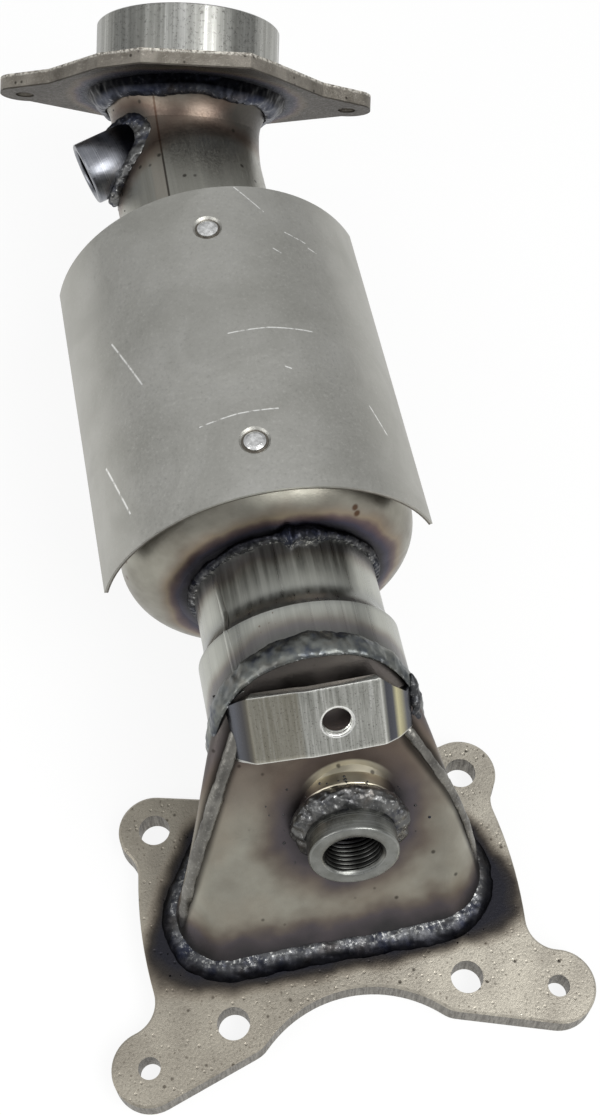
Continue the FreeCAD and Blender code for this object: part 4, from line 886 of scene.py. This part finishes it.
def girth_bead(name, node, rim_y, direction, seed):
    """Slim bead from a cap's skirt to the shell."""
    path, outward = circle(np.array([0, rim_y, CAN_AXIS_Z]), Y, SHELL_R, 700)
    along = np.repeat(direction[None, :], len(path), axis=0)
    weld_bead(name, path, outward, along, 1.6, 2.4, pitch=1.6, ripple=0.08, swell=0.12, grit=0.06, seed=seed,
              material=DARK_WELD, stands_for=(node,), columns=14)


# ---- threaded bores ------------------------------------------------------------------------
THREAD_PITCH = 1.5            # M18 x 1.5 in the bosses; M10 coarse in the strap has the same
THREAD_DEPTH = 0.75


def threaded_boss(name, node, mouth, direction, radius, length, crest, material):
    """Turned bush with a cut thread. Outside, a cylinder with a rounded rim; inside, the radius is the crest
    plus the thread's depth times a triangle wave of (height / pitch - angle / one turn)."""
    rim = np.linspace(0, math.pi / 2, 5)
    edge = 0.7
    outer_r = np.concatenate([[radius], radius - edge + edge * np.cos(rim)])
    outer_h = np.concatenate([[length], edge - edge * np.sin(rim)])
    cut_h = np.arange(1.0, length, THREAD_PITCH / 8)
    mouth_r, mouth_h = [crest + 1.3, crest + 1.15], [0.0, 0.12]
    fixed_r = np.concatenate([outer_r, mouth_r])
    heights = np.concatenate([outer_h, mouth_h, cut_h, [length]])
    path, outward = circle(mouth, direction, 1.0, 144)
    outward = outward[:, None, :]
    turn = np.linspace(0, 1, len(path), endpoint=False)[:, None]
    wave = np.abs(((cut_h[None, :] / THREAD_PITCH - turn) % 1) * 2 - 1)
    cut_r = crest + THREAD_DEPTH * wave
    steady = np.repeat(fixed_r[None, :], len(path), axis=0)
    radii = np.concatenate([steady, cut_r, np.full((len(path), 1), crest)], axis=1)
    grid = mouth + outward * radii[..., None] - direction * heights[None, :, None]
    skin(name, grid, material, (node,))


# ---- strap ---------------------------------------------------------------------------------
STRAP_W, STRAP_T, STRAP_UP = 21.5, 3.0, 85.3     # width, sheet, and its middle's place up the housing's front
STRAP_TOP = 8.0                                  # the raised flat's height over the front
# corners of its top line: X and height over the front
STRAP_LINE = ((-26.5, -9.0), (-22.5, 1.5), (-17.5, 6.2), (-4.2, 7.3), (-1.4, STRAP_TOP), (20.2, STRAP_TOP),
              (24.7, 5.6), (29.4, 0.8), (32.0, -6.0))


def strap_profile(step=0.5):
    """Top line of the strap, across the housing's front: straight runs, their corners rounded by a running
    mean 3 mm long. Returns X and height above the front."""
    corners = np.array(STRAP_LINE)
    walked = np.concatenate([[0], np.cumsum(np.linalg.norm(np.diff(corners, axis=0), axis=1))])
    at = np.arange(0, walked[-1], step)
    line = np.stack([np.interp(at, walked, corners[:, k]) for k in (0, 1)], axis=1)
    count = int(3.0 / step)
    padded = np.vstack([line[:1]] * count + [line] + [line[-1:]] * count)
    window = np.hanning(count + 2)[1:-1]
    window /= window.sum()
    return np.stack([np.convolve(padded[:, k], window, "same")[count:-count] for k in (0, 1)], axis=1)


def on_strap(x, height, t):
    """Point in mm from X, height above the housing's front, and place across the strap's width."""
    return FRONT_FOOT + x[..., None] * X + height[..., None] * FRONT_NORMAL \
        + (STRAP_UP + t)[..., None] * SLOPE


def strap():
    """Bent strap as a sheet: a grid left and right of the hole, and round the hole a patch whose points run
    from its circle to its square border. The upper edge draws back on both legs. Solidify gives the wall."""
    line = strap_profile()
    left_leg = np.clip((-17 - line[:, 0]) / 7, 0, 1)
    right_leg = np.clip((line[:, 0] - 20.5) / 8, 0, 1)
    low = -STRAP_W / 2 - 0.8 * np.clip((-18 - line[:, 0]) / 6, 0, 1)
    high = STRAP_W / 2 - 9.0 * right_leg - 5.0 * left_leg ** 1.3
    columns = 17
    share = np.linspace(0, 1, columns)
    # the hole's place on the strap, its radius, and half the width of the patch round it
    hole_x, hole_t, hole_r, half = STRAP_HOLE_X, -0.7, 4.7, 7.0
    left, right = line[line[:, 0] < hole_x - half - 0.1], line[line[:, 0] > hole_x + half + 0.1]
    flat = np.interp(hole_x, line[:, 0], line[:, 1])
    sheets = []
    for part, border in ((left, hole_x - half), (right, hole_x + half)):
        inside = np.isin(line[:, 0], part[:, 0])
        t = low[inside][:, None] * (1 - share) + high[inside][:, None] * share
        rows = on_strap(np.repeat(part[:, :1], columns, 1), np.repeat(part[:, 1:], columns, 1), t)
        upright = -STRAP_W / 2 + STRAP_W * share
        edge = on_strap(np.full(columns, border), np.full(columns, flat), upright)[None]
        sheets.append(np.concatenate([rows, edge] if border < hole_x else [edge, rows]))
    side, ends = np.linspace(-1, 1, columns), np.ones(columns)
    w, h = half, STRAP_W / 2
    border = np.vstack([np.stack(run, 1)[:-1] for run in (
        (w * ends, side * h), (-side * w, h * ends), (-w * ends, -side * h), (side * w, -h * ends))])
    circle_points = unit(border - (0.0, hole_t)) * hole_r + (0.0, hole_t)
    depth = np.linspace(0, 1, 7)[:, None, None]
    patch = circle_points * (1 - depth) + border * depth
    patch = np.concatenate([patch, patch[:, :1]], axis=1)
    sheets.append(on_strap(patch[..., 0] + hole_x, np.full(patch.shape[:2], flat), patch[..., 1]))
    points, faces = [], []
    for sheet in sheets:
        rows, columns = sheet.shape[:2]
        here = np.arange(rows * columns).reshape(rows, columns) + sum(len(p) for p in points)
        quads = np.stack([here[:-1, :-1], here[1:, :-1], here[1:, 1:], here[:-1, 1:]], axis=-1).reshape(-1, 4)
        a, b, c = (sheet.reshape(-1, 3)[quads[:, k] - here[0, 0]] for k in range(3))
        if (np.cross(b - a, c - a) @ FRONT_NORMAL).sum() < 0:
            quads = quads[:, ::-1]
        points.append(sheet.reshape(-1, 3))
        faces += quads.tolist()
    mesh = bpy.data.meshes.new("strap")
    mesh.from_pydata((np.vstack(points) * MM).tolist(), [], faces)
    work = bmesh.new()
    work.from_mesh(mesh)
    bmesh.ops.remove_doubles(work, verts=work.verts, dist=0.02 * MM)
    work.to_mesh(mesh)
    work.free()
    mesh.shade_smooth()
    mesh.materials.append(STRAP)
    thing = piece("strap", mesh, ("strap_bracket",))
    wall = thing.modifiers.new("wall", "SOLIDIFY")
    wall.thickness, wall.offset = STRAP_T * MM, -1
    edges = thing.modifiers.new("edges", "BEVEL")
    edges.width, edges.segments, edges.limit_method = 0.35 * MM, 2, "ANGLE"
    edges.angle_limit = math.radians(50)


STRAP_WELDS = (("left_strap_weld", -25.4, -4.6, ROUGH_WELD), ("right_strap_weld", 31.4, -3.2, DARK_WELD))


def strap_welds():
    """Short fillet welds where the strap's legs land on the housing: each an open bead, thin at both ends."""
    rng = np.random.default_rng(91)
    for name, x, height, material in STRAP_WELDS:
        t = np.linspace(-STRAP_W / 2 - 1.5, 4.5, 120)
        body = np.sin(math.pi * np.linspace(0, 1, 120)) ** 0.45
        centre = on_strap(x + 0 * t, height + 0 * t, t)
        turn = np.linspace(0, 2 * math.pi, 24, endpoint=False)
        reach = 2.6 * body[:, None, None]
        grid = centre[:, None, :] + reach * (X * np.cos(turn)[None, :, None] * 0.8
                                             + FRONT_NORMAL * np.sin(turn)[None, :, None] * 1.1)
        out = unit(grid - centre[:, None, :] + 1e-6)
        swell = 0.4 * lumps(grid, 4.0, rng) + 0.15 * lumps(grid, 1.5, rng)
        grid = grid + out * (swell * body[:, None])[..., None]
        skin(name, grid, material, ring=False, across=np.full(24, 0.6))


def strap_thread():
    """Thread in the strap's hole: ridges that stand in from the hole's wall, by the same triangle wave."""
    height = np.arange(-2.9, -0.45, THREAD_PITCH / 10)
    top = STRAP_HOLE + FRONT_NORMAL * STRAP_TOP
    path, outward = circle(top, FRONT_NORMAL, 1.0, 96)
    turn = np.linspace(0, 1, len(path), endpoint=False)[:, None]
    wave = np.abs(((height[None, :] / THREAD_PITCH - turn) % 1) * 2 - 1)
    radii = np.concatenate([4.65 - 0.5 * wave, np.full((len(path), 2), 5.1)], axis=1)
    height = np.concatenate([height, height[-1:], height[:1]])
    grid = top + outward[:, None, :] * radii[..., None] + FRONT_NORMAL * height[None, :, None]
    skin("strap_thread", grid, STRAP)


# ---- seams and spatter ---------------------------------------------------------------------
def lap(name, points, lean, radius):
    """Rolled lap up one side of the housing: an oval rod laid on its surface, wandering a little and drawn
    down to nothing at both ends. Its path is a cubic through the points."""
    knots = np.array(points)
    share = np.linspace(0, len(knots) - 1, 240)
    fit = [np.polynomial.Polynomial.fit(np.arange(len(knots)), knots[:, k], 3) for k in range(3)]
    path = np.stack([curve(share) for curve in fit], axis=1)
    tangent = unit(np.gradient(path, axis=0))
    out = unit(np.linspace([lean * 0.9, -0.3, 0.3], [lean * 0.1, -0.8, 0.6], len(path)))
    side = unit(np.cross(tangent, out))
    out = np.cross(side, tangent)
    taper = np.clip(np.minimum(share, share[::-1]) / 0.6, 0, 1)[:, None, None] ** 0.5
    around = np.linspace(0, 2 * math.pi, 20, endpoint=False)[None, :, None]
    wide = radius * np.cos(around) * side[:, None, :]
    tall = 0.7 * radius * np.sin(around) * out[:, None, :]
    grid = path[:, None, :] + taper * (wide + tall)
    rng = np.random.default_rng(95)
    swell = 0.18 * lumps(grid, 8.0, rng) + 0.05 * lumps(grid, 2.0, rng)
    grid = grid + unit(grid - path[:, None, :] + 1e-6) * (taper[..., 0] * swell)[..., None]
    skin(name, grid, LAP, ring=False)


def neck_seam():
    """Rolled seam of the neck tube, on its left side: a half-round ridge that follows the tube's profile,
    wandering a little, and dying away at both ends."""
    rng = np.random.default_rng(7)
    low, high = 70.0, 114.0
    y = np.linspace(low, high, 260)
    step = np.clip((y - NECK_STEP_START) / (NECK_STEP_END - NECK_STEP_START), 0, 1)
    radius = COLLAR_R + (NECK_R - COLLAR_R) * (1 - (1 - step) ** 1.7)
    stops = [low, NECK_STEP_START, NECK_STEP_END, high]
    angle = np.radians(np.interp(y, stops, [-42.5, -44.5, -47.5, -50.5]))
    fall = np.clip(np.minimum(y - low, high - y) / 6, 0, 1) ** 0.5
    waver = lumps(np.stack([y, y * 0, y * 0], axis=1), 9.0, rng)
    section = np.linspace(0, 2 * math.pi, 14, endpoint=False)
    wide = 1.1 + 0.25 * waver
    swing = angle[:, None] + (wide[:, None] * np.cos(section)[None, :]) / radius[:, None]
    stand = radius[:, None] - 0.15 + 0.62 * fall[:, None] * np.sin(section)[None, :]
    grid = np.stack([NECK_X + stand * np.sin(swing), np.repeat(y[:, None], 14, axis=1),
                     CAN_AXIS_Z + stand * np.cos(swing)], axis=-1)
    skin("neck_seam", grid, TUBE, ring=False)


def sprinkle(node, path, fall, count, rng):
    """Random places on a node near a path: picked evenly over its faces, kept by exp(-distance / fall)."""
    mesh = frame["nodes"][node].data
    mesh.calc_loop_triangles()
    corners = np.zeros(len(mesh.loop_triangles) * 3, int)
    mesh.loop_triangles.foreach_get("vertices", corners)
    places = np.zeros(len(mesh.vertices) * 3)
    mesh.vertices.foreach_get("co", places)
    triangles = places.reshape(-1, 3)[corners.reshape(-1, 3)] / MM
    normals = np.cross(triangles[:, 1] - triangles[:, 0], triangles[:, 2] - triangles[:, 0])
    areas = np.linalg.norm(normals, axis=1)
    picked = rng.choice(len(areas), 24000, p=areas / areas.sum())
    s, t = rng.random((2, len(picked), 1))
    s, t = np.where(s + t > 1, 1 - s, s), np.where(s + t > 1, 1 - t, t)
    points = triangles[picked, 0] * (1 - s - t) + triangles[picked, 1] * s + triangles[picked, 2] * t
    gap = np.linalg.norm(points[:, None, :] - path[None, ::12], axis=-1).min(1)
    facing = normals[picked, 2] > -0.1 * areas[picked]
    kept = np.nonzero(facing & (points[:, 2] > 2.0) & (rng.random(len(gap)) < np.exp(-gap / fall)))[0][:count]
    return points[kept], normals[picked[kept]] / areas[picked[kept], None]


def spatter(name, node, path, fall, count, sizes, seed, material):
    """Frozen droplets of weld metal: each a squashed half ball, three rings of points with one over them and
    one under them, 0.6 of its radius tall."""
    rng = np.random.default_rng(seed)
    centres, normals = sprinkle(node, path, fall, count, rng)
    size = rng.uniform(*sizes, len(centres))
    first = unit(np.cross(normals, rng.normal(size=normals.shape)))
    second = np.cross(normals, first)
    sides = 8
    around = np.linspace(0, 2 * math.pi, sides, endpoint=False)
    lift = np.radians([-25, 15, 52])
    flat, tall = np.cos(lift)[:, None], np.sin(lift)[:, None] * 0.6
    spread = np.stack([flat * np.cos(around), flat * np.sin(around), tall + 0 * around], axis=-1)
    spread = np.vstack([spread.reshape(-1, 3), [[0, 0, 0.6], [0, 0, -0.3]]])
    points = centres[:, None, :] + size[:, None, None] * (
        spread[None, :, :1] * first[:, None, :] + spread[None, :, 1:2] * second[:, None, :]
        + spread[None, :, 2:] * normals[:, None, :])
    a, b = np.arange(sides), np.roll(np.arange(sides), -1)
    over, under = np.full(sides, 3 * sides), np.full(sides, 3 * sides + 1)
    walls = np.concatenate([np.stack([a + k, b + k, b + k + sides, a + k + sides], 1) for k in (0, sides)])
    caps = np.concatenate([np.stack([a + 2 * sides, b + 2 * sides, over], 1), np.stack([b, a, under], 1)])
    shift = (np.arange(len(centres)) * len(spread))[:, None, None]
    faces = (walls[None] + shift).reshape(-1, 4).tolist() + (caps[None] + shift).reshape(-1, 3).tolist()
    mesh = bpy.data.meshes.new(name)
    mesh.from_pydata((points.reshape(-1, 3) * MM).tolist(), [], faces)
    mesh.shade_smooth()
    mesh.materials.append(material)
    piece(name, mesh)


base_bead()
ring_bead()
collar_bead()
rear_boss_bead()
flange_bead()
tube_bead("neck_bead", "neck_can_weld", np.array([NECK_X, CAN_START, CAN_AXIS_Z]), -Y, NECK_R, 2.1, 1.4,
          ((-24.0, 10.0, 0.7), (3.0, 3.5, 1.9), (14.0, 9.0, 1.9)), 61, DARK_WELD)
tube_bead("elbow_bead", "elbow_can_weld", np.array([0, CAN_END, CAN_AXIS_Z]), Y, ELBOW_R, 3.4, 2.0,
          ((40.0, 20.0, 0.6),), 67)
girth_bead("inlet_girth_bead", "inlet_girth_weld", CAN_START + CAP_RIM, Y, 71)
girth_bead("outlet_girth_bead", "outlet_girth_weld", CAN_END - CAP_RIM, -Y, 73)
threaded_boss("front_boss_threaded", "front_sensor_boss", FRONT_BOSS_MOUTH, FRONT_BOSS_DIR, FRONT_BOSS_R,
              FRONT_BOSS_LENGTH, BOSS_BORE_R, FRONT_BOSS_STEEL)
threaded_boss("rear_boss_threaded", "rear_sensor_boss", REAR_BOSS_MOUTH, REAR_BOSS_DIR, REAR_BOSS_R,
              REAR_BOSS_LENGTH, BOSS_BORE_R, REAR_BOSS_STEEL)
strap()
strap_welds()
strap_thread()
neck_seam()
lap("left_lap", LEFT_LAP, -1.0, 2.1)
lap("right_lap", RIGHT_LAP, 1.0, 1.5)

FOOT_PATH = base_outline(0.4)[0]
BOSS_PATH = circle(FRONT_BOSS_MOUTH - FRONT_BOSS_DIR * 15.0, FRONT_BOSS_DIR, 17.5, 360)[0]
spatter("plate_spatter", "inlet_flange", FOOT_PATH, 3.0, 60, (0.18, 0.45), 81, DARK_WELD)
spatter("housing_spatter", "housing_front_shell", BOSS_PATH, 2.6, 40, (0.2, 0.55), 83, ROUGH_WELD)
spatter("elbow_spatter", "outlet_elbow", boss_foot()[0], 3.0, 30, (0.2, 0.5), 87, ROUGH_WELD)


# ---- floor, light and camera ----------------------------------------------------------------
def lit_floor():
    """Pale floor that shows white to the eye and to polished metal, and keeps a faint shadow."""
    bpy.ops.mesh.primitive_plane_add(size=8, location=(0, 0, -0.0006))
    floor = bpy.context.object
    floor.name = "floor"
    material = bpy.data.materials.new("pale_floor")
    material.use_nodes = True
    tree = material.node_tree
    tree.nodes.clear()
    rays = tree.nodes.new("ShaderNodeLightPath")
    seen = add(tree, "Math", (rays.outputs["Is Camera Ray"], rays.outputs["Is Glossy Ray"]),
               operation="MAXIMUM")
    seen = add(tree, "Math", (seen, rays.outputs["Is Transmission Ray"]), operation="MAXIMUM")
    share = add(tree, "Math", (seen, 0.88), operation="MULTIPLY")
    matte = add(tree, "BsdfDiffuse", (colour("F4F4F2"),))
    white = add(tree, "Emission", (colour("FFFFFF"), 1.0))
    mixed = add(tree, "MixShader", (share, matte, white))
    output = tree.nodes.new("ShaderNodeOutputMaterial")
    tree.links.new(mixed, output.inputs["Surface"])
    floor.data.materials.append(material)


def world():
    """Pale studio: white to the eye; as light, a soft grey that is brighter overhead than at the sides."""
    surround = bpy.data.worlds.new("studio")
    bpy.context.scene.world = surround
    surround.use_nodes = True
    tree = surround.node_tree
    tree.nodes.clear()
    rays = tree.nodes.new("ShaderNodeLightPath")
    toward = add(tree, "TexCoord", out="Generated")
    height = add(tree, "SeparateXYZ", (toward,), "Z")
    level = add(tree, "MapRange", (height, -0.1, 0.95, 0.34, 0.8), interpolation_type="SMOOTHSTEP")
    eye = add(tree, "Background", (colour("FFFFFF"), 1.0))
    light = add(tree, "Background", (colour("F7F8FA"), level))
    mixed = add(tree, "MixShader", (rays.outputs["Is Camera Ray"], light, eye))
    output = tree.nodes.new("ShaderNodeOutputWorld")
    tree.links.new(mixed, output.inputs["Surface"])


def softbox(name, place, aim, width, height, watts):
    """Area lamp of a width and height in metres, turned to face a point."""
    lamp = bpy.data.lights.new(name, "AREA")
    lamp.shape, lamp.size, lamp.size_y, lamp.energy = "RECTANGLE", width, height, watts
    box = bpy.data.objects.new(name, lamp)
    bpy.context.scene.collection.objects.link(box)
    box.location = place
    box.rotation_euler = (Vector(aim) - Vector(place)).to_track_quat("-Z", "Y").to_euler()


def camera():
    """Looks down the can from above the plate, turned a little to the side."""
    right = Vector((0.98112, -0.19327, -0.00753))
    look = Vector((0.09477, 0.51429, -0.85237))
    up = right.cross(look)
    lens = bpy.data.cameras.new("camera")
    lens.sensor_width, lens.lens = 36.0, 49.40
    lens.clip_start = 0.01
    eye = bpy.data.objects.new("camera", lens)
    bpy.context.scene.collection.objects.link(eye)
    turn = Matrix((right, up, -look)).transposed().to_4x4()
    eye.matrix_world = Matrix.Translation(Vector((-36.795, -124.134, 477.192)) * MM) @ turn
    bpy.context.scene.camera = eye


lit_floor()
world()
softbox("key", (0.45, -0.45, 0.9), (0, 0.12, 0.05), 0.7, 0.7, 9)
softbox("fill", (-0.8, -0.1, 0.6), (0, 0.15, 0.05), 0.5, 0.8, 3)
camera()
bpy.context.scene.view_settings.view_transform = "Standard"
